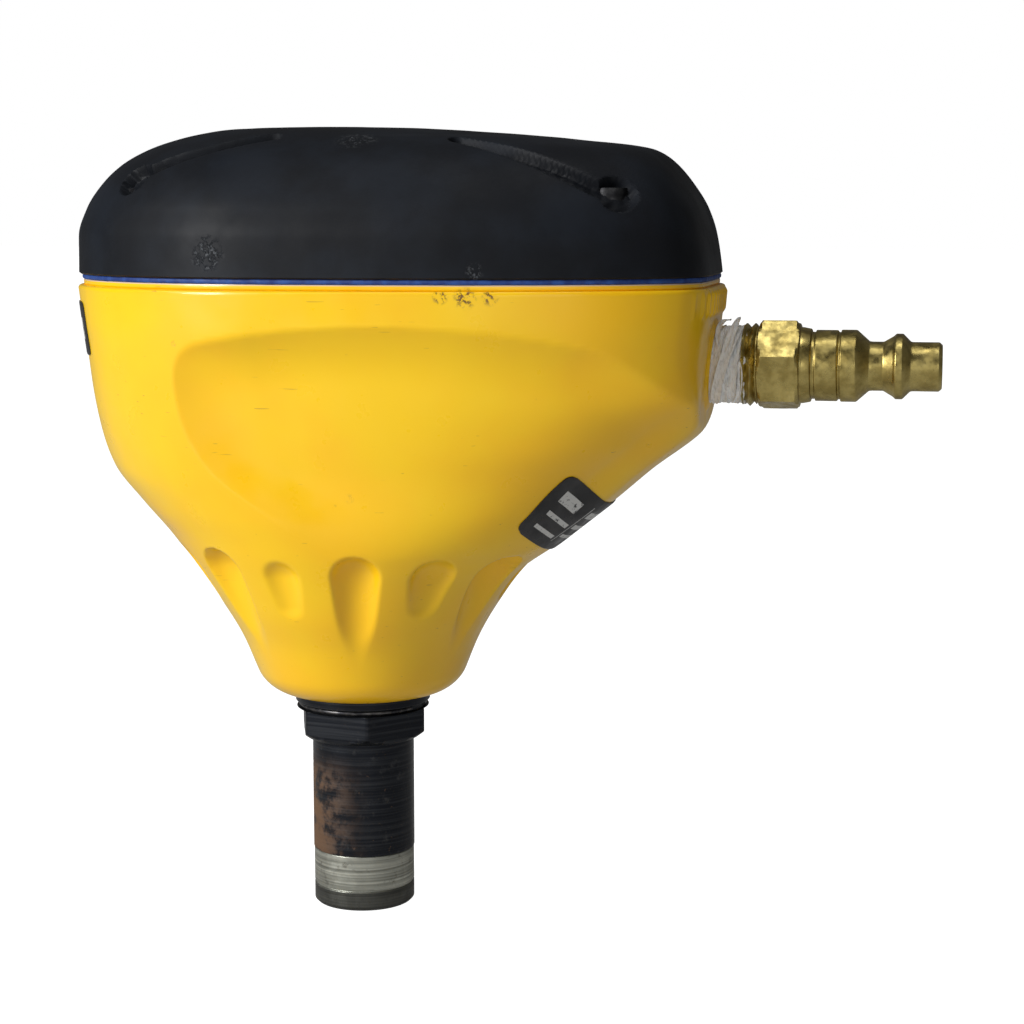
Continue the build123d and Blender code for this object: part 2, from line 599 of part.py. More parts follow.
PLUG_PROFILE = [
    (46.5, PLUG_PASSAGE_R),
    (46.5, thread_r(46.5)),
    (TAPE_X[1], thread_r(TAPE_X[1])),
    (TAPE_X[1], 6.7),
    (67.6, 6.92),
    (68.0, 6.7),
    (68.4, 6.92),
    (68.8, 6.5),
    (HEX_X[0], 6.5),
    (HEX_X[1], 6.4),
    (76.1, 6.4),
    (77.5, 6.1),
    (77.5, 5.6),
    (78.1, 5.6),
    (78.1, 5.85),
    (81.8, 5.85),
    (82.2, 5.6),
    (82.2, 5.95),
    (85.0, 5.95),
    (86.9, 4.05),
    (89.4, 4.05),
    (91.0, 5.0),
    (91.2, 5.4),
    (92.3, 5.4),
    (93.6, 4.05),
    (98.2, 4.05),
    (98.7, 3.6),
    (98.7, PLUG_PASSAGE_R),
]
with BuildPart() as air_plug:
    with BuildSketch(Plane.XZ):
        with BuildLine():
            Polyline(*[(x, INLET_Z + r) for x, r in PLUG_PROFILE], close=True)
        make_face()
    revolve(axis=Axis((0, 0, INLET_Z), (1, 0, 0)))
    with BuildSketch(Plane.YZ.offset(HEX_X[0])):
        with Locations((0, INLET_Z)):
            RegularPolygon(HEX_AF / 2, 6, major_radius=False, rotation=HEX_TURN_DEG)
            Circle(PLUG_PASSAGE_R, mode=Mode.SUBTRACT)
    extrude(amount=HEX_X[1] - HEX_X[0])
    # turned corners on both ends of the hexagon
    with BuildSketch(Plane.XZ):
        with BuildLine():
            Polyline(
                (HEX_X[1] - 0.6, INLET_Z + 8.1),
                (HEX_X[1] + 0.1, INLET_Z + 6.7),
                (HEX_X[1] + 0.1, INLET_Z + 9),
                (HEX_X[1] - 0.6, INLET_Z + 9),
                close=True,
            )
        make_face()
        with BuildLine():
            Polyline(
                (HEX_X[0] + 0.6, INLET_Z + 8.1),
                (HEX_X[0] - 0.1, INLET_Z + 6.9),
                (HEX_X[0] - 0.1, INLET_Z + 9),
                (HEX_X[0] + 0.6, INLET_Z + 9),
                close=True,
            )
        make_face()
    revolve(axis=Axis((0, 0, INLET_Z), (1, 0, 0)), mode=Mode.SUBTRACT)
save(air_plug.part, "air_plug")

with BuildPart() as thread_tape:
    with BuildSketch(Plane.XZ):
        with BuildLine():
            Polyline(
                (TAPE_X[0], INLET_Z + TAPE_OUTER_R[0]),
                (TAPE_X[0], INLET_Z + thread_r(TAPE_X[0])),
                (TAPE_X[1], INLET_Z + thread_r(TAPE_X[1])),
                (TAPE_X[1], INLET_Z + TAPE_OUTER_R[1]),
                close=True,
            )
        make_face()
    revolve(axis=Axis((0, 0, INLET_Z), (1, 0, 0)))
save(thread_tape.part, "thread_tape")

# ---- Labels: thin blank stickers that follow the casing ------
label_skin = lofted(HOUSING_STATIONS, inset=-LABEL_THICKNESS)

with BuildPart() as rating_label:
    with BuildSketch(Plane(origin=(60, 0, 48), x_dir=(0, 1, 0), z_dir=(-0.66, 0, 0.75))):
        RectangleRounded(*RATING_LABEL, 1.5)
    extrude(amount=60)
    add(label_skin, mode=Mode.INTERSECT)
    add(housing_body, mode=Mode.SUBTRACT)
save(rating_label.part, "rating_label")

with BuildPart() as end_label:
    with BuildSketch(Plane(origin=(-60, 0, END_LABEL_Z), x_dir=(0, 1, 0), z_dir=(1, 0, 0))):
        RectangleRounded(*END_LABEL, 1.0)
    extrude(amount=40)
    add(label_skin, mode=Mode.INTERSECT)
    add(housing_body, mode=Mode.SUBTRACT)
save(end_label.part, "end_label")
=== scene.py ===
import math

import bpy
import numpy as np
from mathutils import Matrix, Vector, noise
from mathutils.bvhtree import BVHTree


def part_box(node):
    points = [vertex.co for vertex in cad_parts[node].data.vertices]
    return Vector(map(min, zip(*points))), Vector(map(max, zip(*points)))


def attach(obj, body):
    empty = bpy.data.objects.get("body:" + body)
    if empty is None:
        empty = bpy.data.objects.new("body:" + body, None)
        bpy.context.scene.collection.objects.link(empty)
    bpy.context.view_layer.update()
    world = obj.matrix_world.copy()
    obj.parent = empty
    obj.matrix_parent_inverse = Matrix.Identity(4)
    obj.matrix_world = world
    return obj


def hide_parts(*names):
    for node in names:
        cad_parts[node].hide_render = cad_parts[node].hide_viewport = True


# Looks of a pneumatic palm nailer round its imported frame.
# Shapes are worked out in millimetres and stored in metres.
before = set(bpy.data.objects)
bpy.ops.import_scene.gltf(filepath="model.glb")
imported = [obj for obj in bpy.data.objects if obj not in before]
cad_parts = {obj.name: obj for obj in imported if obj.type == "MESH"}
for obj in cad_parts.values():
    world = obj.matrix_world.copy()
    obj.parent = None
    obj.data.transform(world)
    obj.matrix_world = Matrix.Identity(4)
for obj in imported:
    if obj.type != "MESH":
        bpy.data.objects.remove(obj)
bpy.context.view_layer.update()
MM = 0.001


def node_box(node):
    """Lowest and highest corner of a CAD node, in millimetres."""
    low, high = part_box(node)
    return np.array(low) / MM, np.array(high) / MM


# ---- Sizes from the frame ------
housing_low, housing_high = node_box("housing")
grip_low, grip_high = node_box("palm_grip")
gasket_low, gasket_high = node_box("cap_gasket")
plug_low, plug_high = node_box("air_plug")
tip_high = node_box("nose_tip")[1]
tube_high = node_box("nose_tube")[1]
collar_low, collar_high = node_box("nose_collar")

BASE_Z = housing_low[2]
LIP_TOP_Z = housing_high[2]
SHOULDER_Z = LIP_TOP_Z - 1.0
GRIP_BASE_Z = grip_low[2]
GRIP_TOP_Z = grip_high[2]
INLET_Z = (plug_low[2] + plug_high[2]) / 2
END_X = 60.8  # inlet end face on the inlet's axis
END_LEAN = math.tan(math.radians(5))

COLUMNS = 720  # points round the casing
# Casing outline: height, rear reach, front reach, half width before the finger scoops,
# X of the widest place.
CASING = [
    (BASE_Z, 16.6, 16.6, 16.6, 0.0),
    (42.0, 18.2, 18.2, 18.2, 0.0),
    (48.0, 20.7, 20.7, 20.7, 0.0),
    (54.0, 24.2, 24.2, 24.0, 0.0),
    (60.0, 28.4, 28.8, 26.8, 0.0),
    (66.0, 32.9, 36.6, 29.6, 0.0),
    (72.0, 38.2, 44.0, 31.8, -1.5),
    (78.0, 43.0, 51.0, 33.2, -3.5),
    (84.0, 45.1, 59.0, 34.2, -5.5),
    (91.0, 46.4, 65.0, 35.2, -7.0),
    (97.0, 47.0, 65.8, 36.0, -8.0),
    (102.5, 47.7, 66.4, 36.7, -8.0),
    (SHOULDER_Z, 48.5, 66.8, 37.0, -8.0),
]
# Grip outline in the same columns.
GRIP = [
    (GRIP_BASE_Z, 48.3, 66.8, 36.8, -8.0),
    (117.0, 48.2, 66.6, 36.5, -8.0),
    (121.5, 46.8, 65.2, 34.9, -8.0),
    (125.5, 44.2, 62.6, 32.2, -8.0),
    (128.8, 40.8, 58.8, 28.8, -8.0),
    (131.2, 36.6, 52.5, 25.0, -7.5),
    (132.9, 32.0, 38.5, 21.0, -7.0),
    (134.1, 27.0, 25.0, 16.8, -6.5),
    (134.8, 21.8, 13.5, 12.4, -6.0),
    (GRIP_TOP_Z, 14.5, 4.0, 7.0, -5.5),
]
# Front end of the grip, as height and X.
GRIP_END = [
    (108.0, 61.9), (112.0, 61.4), (117.0, 60.4), (121.5, 59.0), (126.0, 56.3), (131.0, 52.3), (135.4, 47.0),
]


# ---- Curves and surfaces ------
def smoothstep(low, high, x):
    t = np.clip((np.asarray(x, float) - low) / (high - low), 0, 1)
    return t * t * (3 - 2 * t)


def smooth_min(a, b, k):
    h = np.clip(k - np.abs(a - b), 0, None) / k
    return np.minimum(a, b) - h * h * k / 4


def monotone(knots, values, at):
    """Cubic curve through the points that doesn't overshoot them."""
    knots, values, at = (np.asarray(v, float) for v in (knots, values, at))
    step = np.diff(knots)
    slope = np.diff(values) / step
    tangent = np.concatenate([slope[:1], np.zeros(len(slope) - 1), slope[-1:]])
    for i in range(1, len(slope)):
        if slope[i - 1] * slope[i] > 0:
            w1, w2 = 2 * step[i] + step[i - 1], step[i] + 2 * step[i - 1]
            tangent[i] = (w1 + w2) / (w1 / slope[i - 1] + w2 / slope[i])
    i = np.clip(np.searchsorted(knots, at) - 1, 0, len(slope) - 1)
    t = np.clip((at - knots[i]) / step[i], 0, 1)
    return (
        (2 * t**3 - 3 * t**2 + 1) * values[i]
        + (t**3 - 2 * t**2 + t) * step[i] * tangent[i]
        + (3 * t**2 - 2 * t**3) * values[i + 1]
        + (t**3 - t**2) * step[i] * tangent[i + 1]
    )


def outline_radius(angle, rear, front, half, widest):
    """Distance from (widest, 0) to an egg-shaped outline: an ellipse behind, a fuller curve in front."""
    c, s = np.cos(angle), np.sin(angle)
    fullness = 0.3 * smoothstep(2, 6, front - rear)
    power = np.where(c > 0, 2 + fullness, 2.0)
    reach = np.where(c > 0, front - widest, rear + widest)
    return ((np.abs(c) / reach) ** power + (np.abs(s) / half) ** power) ** (-1 / power)


def cut_by_end(radius, angle, widest, end_x, rounding):
    """Trim an outline by the end face at end_x, with rounded plan corners."""
    c = np.cos(angle)
    to_end = np.where(c > 0.05, (end_x - widest) / np.maximum(c, 0.05), 1e4)
    return smooth_min(radius, to_end, rounding)


def even_angles():
    """Directions from the middle of the casing that are evenly spaced along its top outline."""
    dense = np.linspace(0, 2 * math.pi, 20001)
    top = CASING[-1]
    r = outline_radius(dense, *top[1:])
    r = cut_by_end(r, dense, top[4], END_X + (top[0] - INLET_Z) * END_LEAN, 4.0)
    x, y = r * np.cos(dense), r * np.sin(dense)
    length = np.concatenate([[0], np.cumsum(np.hypot(np.diff(x), np.diff(y)))])
    return np.interp(np.linspace(0, length[-1], COLUMNS, endpoint=False), length, dense)


ANGLES = even_angles()


def station(table, z):
    """Rear, front, half width and widest X of a station table at each height."""
    heights = [row[0] for row in table]
    return [monotone(heights, [row[i] for row in table], z) for i in range(1, 5)]


def to_points(radius, z, widest):
    """Rings of points from polar distances about (widest, 0), one ring per height."""
    x = widest[:, None] + radius * np.cos(ANGLES)
    y = radius * np.sin(ANGLES)
    return np.stack([x, y, np.broadcast_to(z[:, None], x.shape)], axis=-1)


def surface_normals(points):
    """Outward normals of a grid of rings."""
    along = np.roll(points, -1, axis=1) - np.roll(points, 1, axis=1)
    across = np.gradient(points, axis=0)
    normal = np.cross(along, across)
    return normal / np.maximum(np.linalg.norm(normal, axis=-1, keepdims=True), 1e-9)


def lumps(points, scale, seed):
    """Smooth noise from about -1 to 1 at each point, with features of about scale millimetres."""
    flat = points.reshape(-1, 3) / scale + seed * 17.3
    return np.array([noise.noise(p) for p in flat.tolist()]).reshape(points.shape[:-1])


# ---- Meshes ------
def make_object(name, vertices, faces, material, body, replaced=(), sharp=40):
    """A mesh piece in metres from vertices in millimetres, riding on a body."""
    mesh = bpy.data.meshes.new(name)
    mesh.from_pydata((np.asarray(vertices) * MM).tolist(), [], faces)
    mesh.validate()
    mesh.shade_smooth()
    mesh.set_sharp_from_angle(angle=math.radians(sharp))
    mesh.materials.append(material)
    piece = bpy.data.objects.new(name, mesh)
    bpy.context.scene.collection.objects.link(piece)
    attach(piece, body)
    if replaced:
        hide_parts(*replaced)
    return piece


def ring_faces(rows, columns, closed_rows):
    """Quads between rings of points that close on themselves."""
    i, j = np.meshgrid(np.arange(rows if closed_rows else rows - 1), np.arange(columns), indexing="ij")
    up = (i + 1) % rows
    right = (j + 1) % columns
    quads = np.stack([i * columns + j, i * columns + right, up * columns + right, up * columns + j], axis=-1)
    return quads.reshape(-1, 4).tolist()


def closed_sheet(name, top, bottom, material, body, replaced=(), uv=None):
    """A thin closed solid between two grids of points of the same size."""
    rows, columns = top.shape[:2]
    count = rows * columns
    index = np.arange(count).reshape(rows, columns)
    faces = []
    for i in range(rows - 1):
        for j in range(columns - 1):
            a, b, c, d = index[i, j], index[i, j + 1], index[i + 1, j + 1], index[i + 1, j]
            faces.append((a, b, c, d))
            faces.append((d + count, c + count, b + count, a + count))
    edge = list(index[0, :-1]) + list(index[:-1, -1]) + list(index[-1, :0:-1]) + list(index[:0:-1, 0])
    for k, a in enumerate(edge):
        b = edge[(k + 1) % len(edge)]
        faces.append((b, a, a + count, b + count))
    vertices = np.concatenate([top.reshape(-1, 3), bottom.reshape(-1, 3)])
    faces = [tuple(int(v) for v in face) for face in faces]
    piece = make_object(name, vertices, faces, material, body, replaced, sharp=50)
    if uv is not None:
        layer = piece.data.uv_layers.new(name="UVMap")
        flat = np.concatenate([uv.reshape(-1, 2)] * 2)
        corner = np.zeros(len(piece.data.loops), int)
        piece.data.loops.foreach_get("vertex_index", corner)
        layer.data.foreach_set("uv", flat[corner].astype(np.float32).ravel())
    return piece


def eased(profile, radius):
    """A closed profile with each corner rounded by up to radius, and points added along its long runs."""
    points = [np.array(p, float) for p in profile]
    out = []
    for i, corner in enumerate(points):
        before, after = points[i - 1], points[(i + 1) % len(points)]
        to_before, to_after = before - corner, after - corner
        lengths = np.linalg.norm(to_before), np.linalg.norm(to_after)
        cut = min(radius, 0.4 * lengths[0], 0.4 * lengths[1])
        start = corner + to_before / lengths[0] * cut
        end = corner + to_after / lengths[1] * cut
        for t in (0.0, 0.25, 0.5, 0.75, 1.0):
            out.append((1 - t) ** 2 * start + 2 * t * (1 - t) * corner + t**2 * end)
        pieces = int(lengths[1] // 2.0)
        stop = after + (corner - after) / lengths[1] * cut
        out += [end + (stop - end) * k / (pieces + 1) for k in range(1, pieces + 1)]
    return np.array(out)


def turned(
    name, profile, material, body, replaced=(), along_x=False, segments=144, shape=None, turn=0.0
):
    """A body of revolution from a closed anticlockwise (radius, height) profile, about Z or the inlet."""
    angles = turn + np.arange(segments) * 2 * math.pi / segments
    radius = np.repeat(profile[:, :1], segments, axis=1)
    height = np.repeat(profile[:, 1:], segments, axis=1)
    if shape:
        radius, height = shape(radius, height, np.broadcast_to(angles, radius.shape))
    if along_x:
        points = np.stack([height, radius * np.cos(angles), INLET_Z + radius * np.sin(angles)], axis=-1)
    else:
        points = np.stack([radius * np.cos(angles), radius * np.sin(angles), height], axis=-1)
    faces = ring_faces(len(profile), segments, True)
    return make_object(name, points.reshape(-1, 3), faces, material, body, replaced)


# ---- Materials ------
class Material:
    """Builds a procedural material on a Principled shader."""

    def __init__(self, name, roughness=0.5, metallic=0.0, coat=0.0, coat_roughness=0.1):
        self.material = bpy.data.materials.new(name)
        self.material.use_nodes = True
        self.nodes = self.material.node_tree.nodes
        self.links = self.material.node_tree.links
        self.shader = self.nodes["Principled BSDF"]
        self.shader.inputs["Roughness"].default_value = roughness
        self.shader.inputs["Metallic"].default_value = metallic
        self.shader.inputs["Coat Weight"].default_value = coat
        self.shader.inputs["Coat Roughness"].default_value = coat_roughness
        self.place = self.nodes.new("ShaderNodeTexCoord").outputs["Object"]

    def stretched(self, x, y, z):
        """Object coordinates stretched by a factor on each axis."""
        node = self.nodes.new("ShaderNodeMapping")
        node.inputs["Scale"].default_value = (x, y, z)
        self.links.new(self.place, node.inputs["Vector"])
        return node.outputs["Vector"]

    def noise(self, size, detail=4.0, roughness=0.55, distortion=0.0, place=None):
        """Noise with features of about size millimetres."""
        node = self.nodes.new("ShaderNodeTexNoise")
        node.inputs["Scale"].default_value = 1000 / size
        node.inputs["Detail"].default_value = detail
        node.inputs["Roughness"].default_value = roughness
        node.inputs["Distortion"].default_value = distortion
        self.links.new(place or self.place, node.inputs["Vector"])
        return node.outputs["Fac"]

    def axis(self, name, place=None):
        node = self.nodes.new("ShaderNodeSeparateXYZ")
        self.links.new(place or self.place, node.inputs["Vector"])
        return node.outputs[name]

    def math(self, operation, a, b=0.0):
        node = self.nodes.new("ShaderNodeMath")
        node.operation = operation
        for socket, value in zip(node.inputs, (a, b)):
            if isinstance(value, (int, float)):
                socket.default_value = value
            else:
                self.links.new(value, socket)
        return node.outputs["Value"]

    def range(self, value, low, high, to_low=0.0, to_high=1.0):
        """Value mapped from low..high to to_low..to_high, held at the ends."""
        node = self.nodes.new("ShaderNodeMapRange")
        node.interpolation_type = "SMOOTHSTEP"
        for socket, number in zip(node.inputs[1:5], (low, high, to_low, to_high)):
            socket.default_value = number
        self.links.new(value, node.inputs[0])
        return node.outputs[0]

    def mix(self, factor, a, b):
        """Colour a turning to colour b with the factor."""
        node = self.nodes.new("ShaderNodeMix")
        node.data_type = "RGBA"
        sockets = [s for s in node.inputs if s.type == "RGBA"]
        for socket, colour in zip(sockets, (a, b)):
            if isinstance(colour, tuple):
                socket.default_value = (*colour, 1.0)
            else:
                self.links.new(colour, socket)
        self.links.new(factor, node.inputs["Factor"])
        return next(s for s in node.outputs if s.type == "RGBA")

    def spots(self, places):
        """Mask of small areas: each place is x, y, z and radius in millimetres."""
        total = None
        for x, y, z, radius in places:
            node = self.nodes.new("ShaderNodeVectorMath")
            node.operation = "DISTANCE"
            node.inputs[1].default_value = (x * MM, y * MM, z * MM)
            self.links.new(self.place, node.inputs[0])
            spot = self.range(node.outputs["Value"], radius * MM, radius * MM * 0.3)
            total = spot if total is None else self.math("MAXIMUM", total, spot)
        return total

    def colour(self, value):
        self.links.new(value, self.shader.inputs["Base Color"])

    def roughness(self, value):
        self.links.new(value, self.shader.inputs["Roughness"])

    def metallic(self, value):
        self.links.new(value, self.shader.inputs["Metallic"])

    def bump(self, height, depth, strength=1.0):
        """Relief of about depth millimetres. Later calls add to earlier ones."""
        node = self.nodes.new("ShaderNodeBump")
        node.inputs["Strength"].default_value = strength
        node.inputs["Distance"].default_value = depth * MM
        self.links.new(height, node.inputs["Height"])
        socket = self.shader.inputs["Normal"]
        if socket.is_linked:
            self.links.new(socket.links[0].from_socket, node.inputs["Normal"])
        self.links.new(node.outputs["Normal"], socket)


def enamel():
    """Yellow enamel over cast metal: orange peel, grime, chips and scuffs, a bare edge under the gasket."""
    m = Material("yellow_enamel", roughness=0.3, coat=0.35, coat_roughness=0.12)
    tone = m.mix(m.range(m.noise(28, 3), 0.35, 0.65), (1.0, 0.56, 0.0), (1.0, 0.62, 0.0))
    grime = m.range(m.noise(1.6, 6, 0.7), 0.66, 0.80)
    tone = m.mix(m.math("MULTIPLY", grime, 0.35), tone, (0.42, 0.17, 0.005))
    wear = m.spots([
        (-22.8, -29.9, 92.6, 2.2), (-23.4, -28.9, 89.6, 2.4), (-22.6, -28.9, 86.6, 1.8),
        (-21.1, -33.6, 100.3, 1.0), (5.2, -31.5, 80.1, 1.0), (6.3, -31.0, 75.4, 1.6),
        (22.5, -35.0, 108.0, 1.5), (26.3, -34.3, 107.9, 2.2), (30.1, -33.5, 107.9, 1.6),
        (-40, 20, 95, 2.5), (20, 32, 90, 2.2), (45, 20, 84, 1.8), (10, 31, 76, 1.5),
    ])
    chips = m.math("MULTIPLY", wear, m.range(m.noise(0.7, 5, 0.7), 0.50, 0.56))
    tone = m.mix(chips, tone, (0.20, 0.085, 0.012))
    scratch = m.range(m.noise(0.5, 2, 0.4, 0.0, m.stretched(0.09, 0.5, 1.6)), 0.735, 0.75)
    scratches = m.math("MULTIPLY", scratch, m.range(m.noise(16, 2), 0.50, 0.58))
    tone = m.mix(m.math("MULTIPLY", scratches, 0.6), tone, (0.40, 0.20, 0.02))
    height = m.axis("Z")
    bare = m.range(height, (LIP_TOP_Z - 0.30) * MM, (LIP_TOP_Z - 0.16) * MM)
    tone = m.mix(bare, tone, (0.70, 0.52, 0.40))
    m.colour(tone)
    m.roughness(m.range(m.noise(5, 5), 0.3, 0.7, 0.27, 0.42))
    m.bump(m.noise(1.3, 2, 0.4), 0.03, 0.35)
    m.bump(m.noise(9, 2, 0.4), 0.12, 0.25)
    m.bump(m.math("MULTIPLY", chips, -1.0), 0.12, 0.8)
    return m.material


def rubber():
    """Moulded black rubber: fine grain, hand-polished patches, grey scuffs."""
    m = Material("grip_rubber", roughness=0.6)
    m.shader.inputs["Specular IOR Level"].default_value = 0.22
    tone = m.mix(m.range(m.noise(11, 5), 0.35, 0.7), (0.0028, 0.0038, 0.0062), (0.0060, 0.0085, 0.0135))
    dust = m.range(m.noise(0.55, 6, 0.75), 0.62, 0.80)
    tone = m.mix(m.math("MULTIPLY", dust, 0.22), tone, (0.040, 0.048, 0.058))
    wear = m.spots([
        (-14.8, -36.0, 114.5, 3.4), (27.6, -33.6, 111.8, 1.8), (5.7, -21.6, 132.6, 4.2),
        (-20, 32, 118, 3.2), (30, 25, 126, 3.0), (-44, 6, 119, 2.6),
    ])
    scuffs = m.math("MULTIPLY", wear, m.range(m.noise(0.9, 5, 0.7), 0.50, 0.60))
    m.colour(m.mix(scuffs, tone, (0.06, 0.065, 0.072)))
    m.roughness(m.range(m.noise(14, 4), 0.3, 0.7, 0.50, 0.68))
    m.bump(m.noise(0.28, 3, 0.6), 0.03, 0.4)
    m.bump(m.noise(3.5, 3, 0.5), 0.08, 0.3)
    m.bump(scuffs, -0.18, 0.9)
    return m.material


def gasket_sheet():
    m = Material("gasket_sheet", roughness=0.62)
    m.colour(m.mix(m.range(m.noise(1.8, 4), 0.35, 0.7), (0.006, 0.030, 0.17), (0.02, 0.08, 0.32)))
    m.roughness(m.range(m.noise(0.8, 3), 0.3, 0.7, 0.5, 0.75))
    m.bump(m.noise(0.35, 4, 0.6), 0.05, 0.6)
    return m.material


def black_oxide(name, rust_amount):
    """Blackened turned steel with fine turning marks, and rust on the side away from the plug."""
    m = Material(name, roughness=0.4, metallic=0.8)
    turning = m.noise(0.5, 5, 0.65, 0.0, m.stretched(0.012, 0.012, 1.0))
    tone = m.mix(m.range(turning, 0.42, 0.66), (0.012, 0.014, 0.019), (0.034, 0.037, 0.043))
    worn = m.range(m.noise(3.0, 6, 0.65), 0.55, 0.72)
    tone = m.mix(m.math("MULTIPLY", worn, 0.45), tone, (0.10, 0.10, 0.10))
    side = m.range(m.axis("X"), 0.004, -0.009)
    zone = m.math("MULTIPLY", side, m.range(m.axis("Z"), 0.0285, 0.0215))
    patch = m.math("MULTIPLY", zone, m.range(m.noise(4.5, 6, 0.68), 0.36, 0.56))
    freckles = m.math("MULTIPLY", m.range(m.noise(1.1, 5, 0.7), 0.64, 0.70), 0.5)
    rust = m.math("MULTIPLY", m.math("MAXIMUM", patch, freckles), rust_amount)
    m.colour(m.mix(rust, tone, (0.15, 0.078, 0.036)))
    m.metallic(m.range(rust, 0.0, 0.7, 0.8, 0.08))
    m.roughness(m.range(rust, 0.0, 0.7, 0.36, 0.78))
    m.bump(turning, 0.05, 0.5)
    m.bump(m.noise(0.6, 5, 0.7), 0.03, 0.4)
    return m.material


def bare_steel():
    """Turned bare steel, dull grey-green with bands and stains, and painted shade darkening its lower rim.
    """
    m = Material("nose_steel", roughness=0.42, metallic=0.9)
    turning = m.noise(0.42, 5, 0.6, 0.0, m.stretched(0.012, 0.012, 1.0))
    bands = m.noise(2.6, 3, 0.5, 0.0, m.stretched(0.02, 0.02, 1.0))
    tone = m.mix(m.range(turning, 0.35, 0.68), (0.24, 0.245, 0.21), (0.58, 0.59, 0.52))
    tone = m.mix(m.math("MULTIPLY", m.range(bands, 0.45, 0.65), 0.4), tone, (0.34, 0.345, 0.30))
    stain = m.range(m.noise(2.2, 6, 0.7), 0.56, 0.70)
    tone = m.mix(m.math("MULTIPLY", stain, 0.55), tone, (0.07, 0.055, 0.035))
    # painted shade: the rim below about 3.1 mm is darkened as if in shadow
    rim = m.range(m.axis("Z"), 0.0037, 0.0031)
    m.colour(m.mix(m.math("MULTIPLY", rim, 0.82), tone, (0.022, 0.022, 0.022)))
    m.roughness(m.range(m.noise(1.6, 4), 0.3, 0.7, 0.34, 0.55))
    m.bump(turning, 0.05, 0.5)
    return m.material


def brass():
    """Tarnished machined brass, olive-brown with brighter rubbed patches and small dents."""
    m = Material("plug_brass", roughness=0.34, metallic=1.0)
    patches = m.noise(3.2, 6, 0.62)
    tone = m.mix(m.range(patches, 0.36, 0.60), (0.36, 0.275, 0.085), (0.54, 0.43, 0.15))
    tone = m.mix(m.range(patches, 0.58, 0.76), tone, (0.74, 0.60, 0.24))
    grime = m.range(m.noise(0.9, 6, 0.72), 0.60, 0.76)
    m.colour(m.mix(m.math("MULTIPLY", grime, 0.6), tone, (0.075, 0.05, 0.015)))
    m.roughness(m.range(m.noise(1.4, 4), 0.3, 0.7, 0.24, 0.48))
    turning = m.noise(0.3, 4, 0.6, 0.0, m.stretched(1.0, 0.012, 0.012))
    m.bump(turning, 0.02, 0.4)
    m.bump(m.noise(1.7, 4, 0.55), 0.06, 0.35)
    return m.material


def seal_tape():
    """White thread tape, soft and wrinkled, with painted shade greying the hollows of its folds."""
    m = Material("seal_tape", roughness=0.55)
    folds = m.noise(0.8, 5, 0.6, 0.6, m.stretched(2.2, 0.6, 0.6))
    # painted shade: the colour follows the fold height, greyer in the fold hollows
    m.colour(m.mix(m.range(folds, 0.34, 0.56), (0.70, 0.69, 0.66), (0.93, 0.93, 0.91)))
    m.shader.inputs["Subsurface Weight"].default_value = 0.15
    m.shader.inputs["Subsurface Radius"].default_value = (0.0012, 0.0010, 0.0008)
    m.bump(folds, 0.16, 0.8)
    m.bump(m.noise(0.25, 3, 0.5), 0.03, 0.4)
    return m.material


def printed_film(name, bars):
    """Black printed film with pale generic bars, each given as (u0, u1, v0, v1) on the sticker."""
    m = Material(name, roughness=0.35)
    uv = m.nodes.new("ShaderNodeTexCoord").outputs["UV"]
    u, v = m.axis("X", uv), m.axis("Y", uv)
    ink = None
    for u0, u1, v0, v1 in bars:
        across = m.math("MULTIPLY", m.math("GREATER_THAN", u, u0), m.math("LESS_THAN", u, u1))
        along = m.math("MULTIPLY", m.math("GREATER_THAN", v, v0), m.math("LESS_THAN", v, v1))
        bar = m.math("MULTIPLY", across, along)
        ink = bar if ink is None else m.math("MAXIMUM", ink, bar)
    worn = m.math("MULTIPLY", ink, m.range(m.noise(0.9, 5, 0.7), 0.34, 0.44))
    base = m.mix(m.range(m.noise(4, 5), 0.4, 0.7), (0.008, 0.008, 0.009), (0.022, 0.022, 0.024))
    m.colour(m.mix(worn, base, (0.62, 0.62, 0.60)))
    m.roughness(m.range(m.noise(3, 4), 0.3, 0.7, 0.25, 0.5))
    m.bump(m.noise(1.2, 4, 0.5), 0.02, 0.4)
    return m.material


def plain_part(name, dark, light, roughness, metallic, grain, depth):
    """Workmanlike finish for a small or inner part: two tones, grain and varied gloss."""
    m = Material(name, roughness=roughness, metallic=metallic)
    m.colour(m.mix(m.range(m.noise(grain * 5, 5), 0.35, 0.68), dark, light))
    m.roughness(m.range(m.noise(grain * 3, 4), 0.3, 0.7, roughness - 0.08, roughness + 0.12))
    m.bump(m.noise(grain, 4, 0.6), depth, 0.5)
    return m.material


YELLOW = enamel()
RUBBER = rubber()
GASKET = gasket_sheet()
OXIDE_TUBE = black_oxide("black_oxide_tube", 0.9)
OXIDE_COLLAR = black_oxide("black_oxide_collar", 0.25)
NOSE_STEEL = bare_steel()
BRASS = brass()
TAPE = seal_tape()


# ---- Housing: casing with scoops, flutes, lip, end ribs and inlet pad ------
FLUTE_COUNT = 14
LONG_FLUTE_DEG = 12.857 - 90
LONG_FLUTE = (27.1, 52.5, 4.7, 17.8)  # radius and height of the centre, cutter radius, length of its core
SHORT_FLUTE = (29.9, 57.5, 4.8, 5.2)
FLUTE_TILT = math.radians(17.7)
FLUTE_BLEND = 0.45
FLUTE_RANGE = (41.0, 69.0)
SCOOP_DEPTH = 3.2
SCOOP_EASE = 10.0
RIM_INSET = 4.0  # rounding of the casing's lower edge
RIM_HEIGHT = 4.0


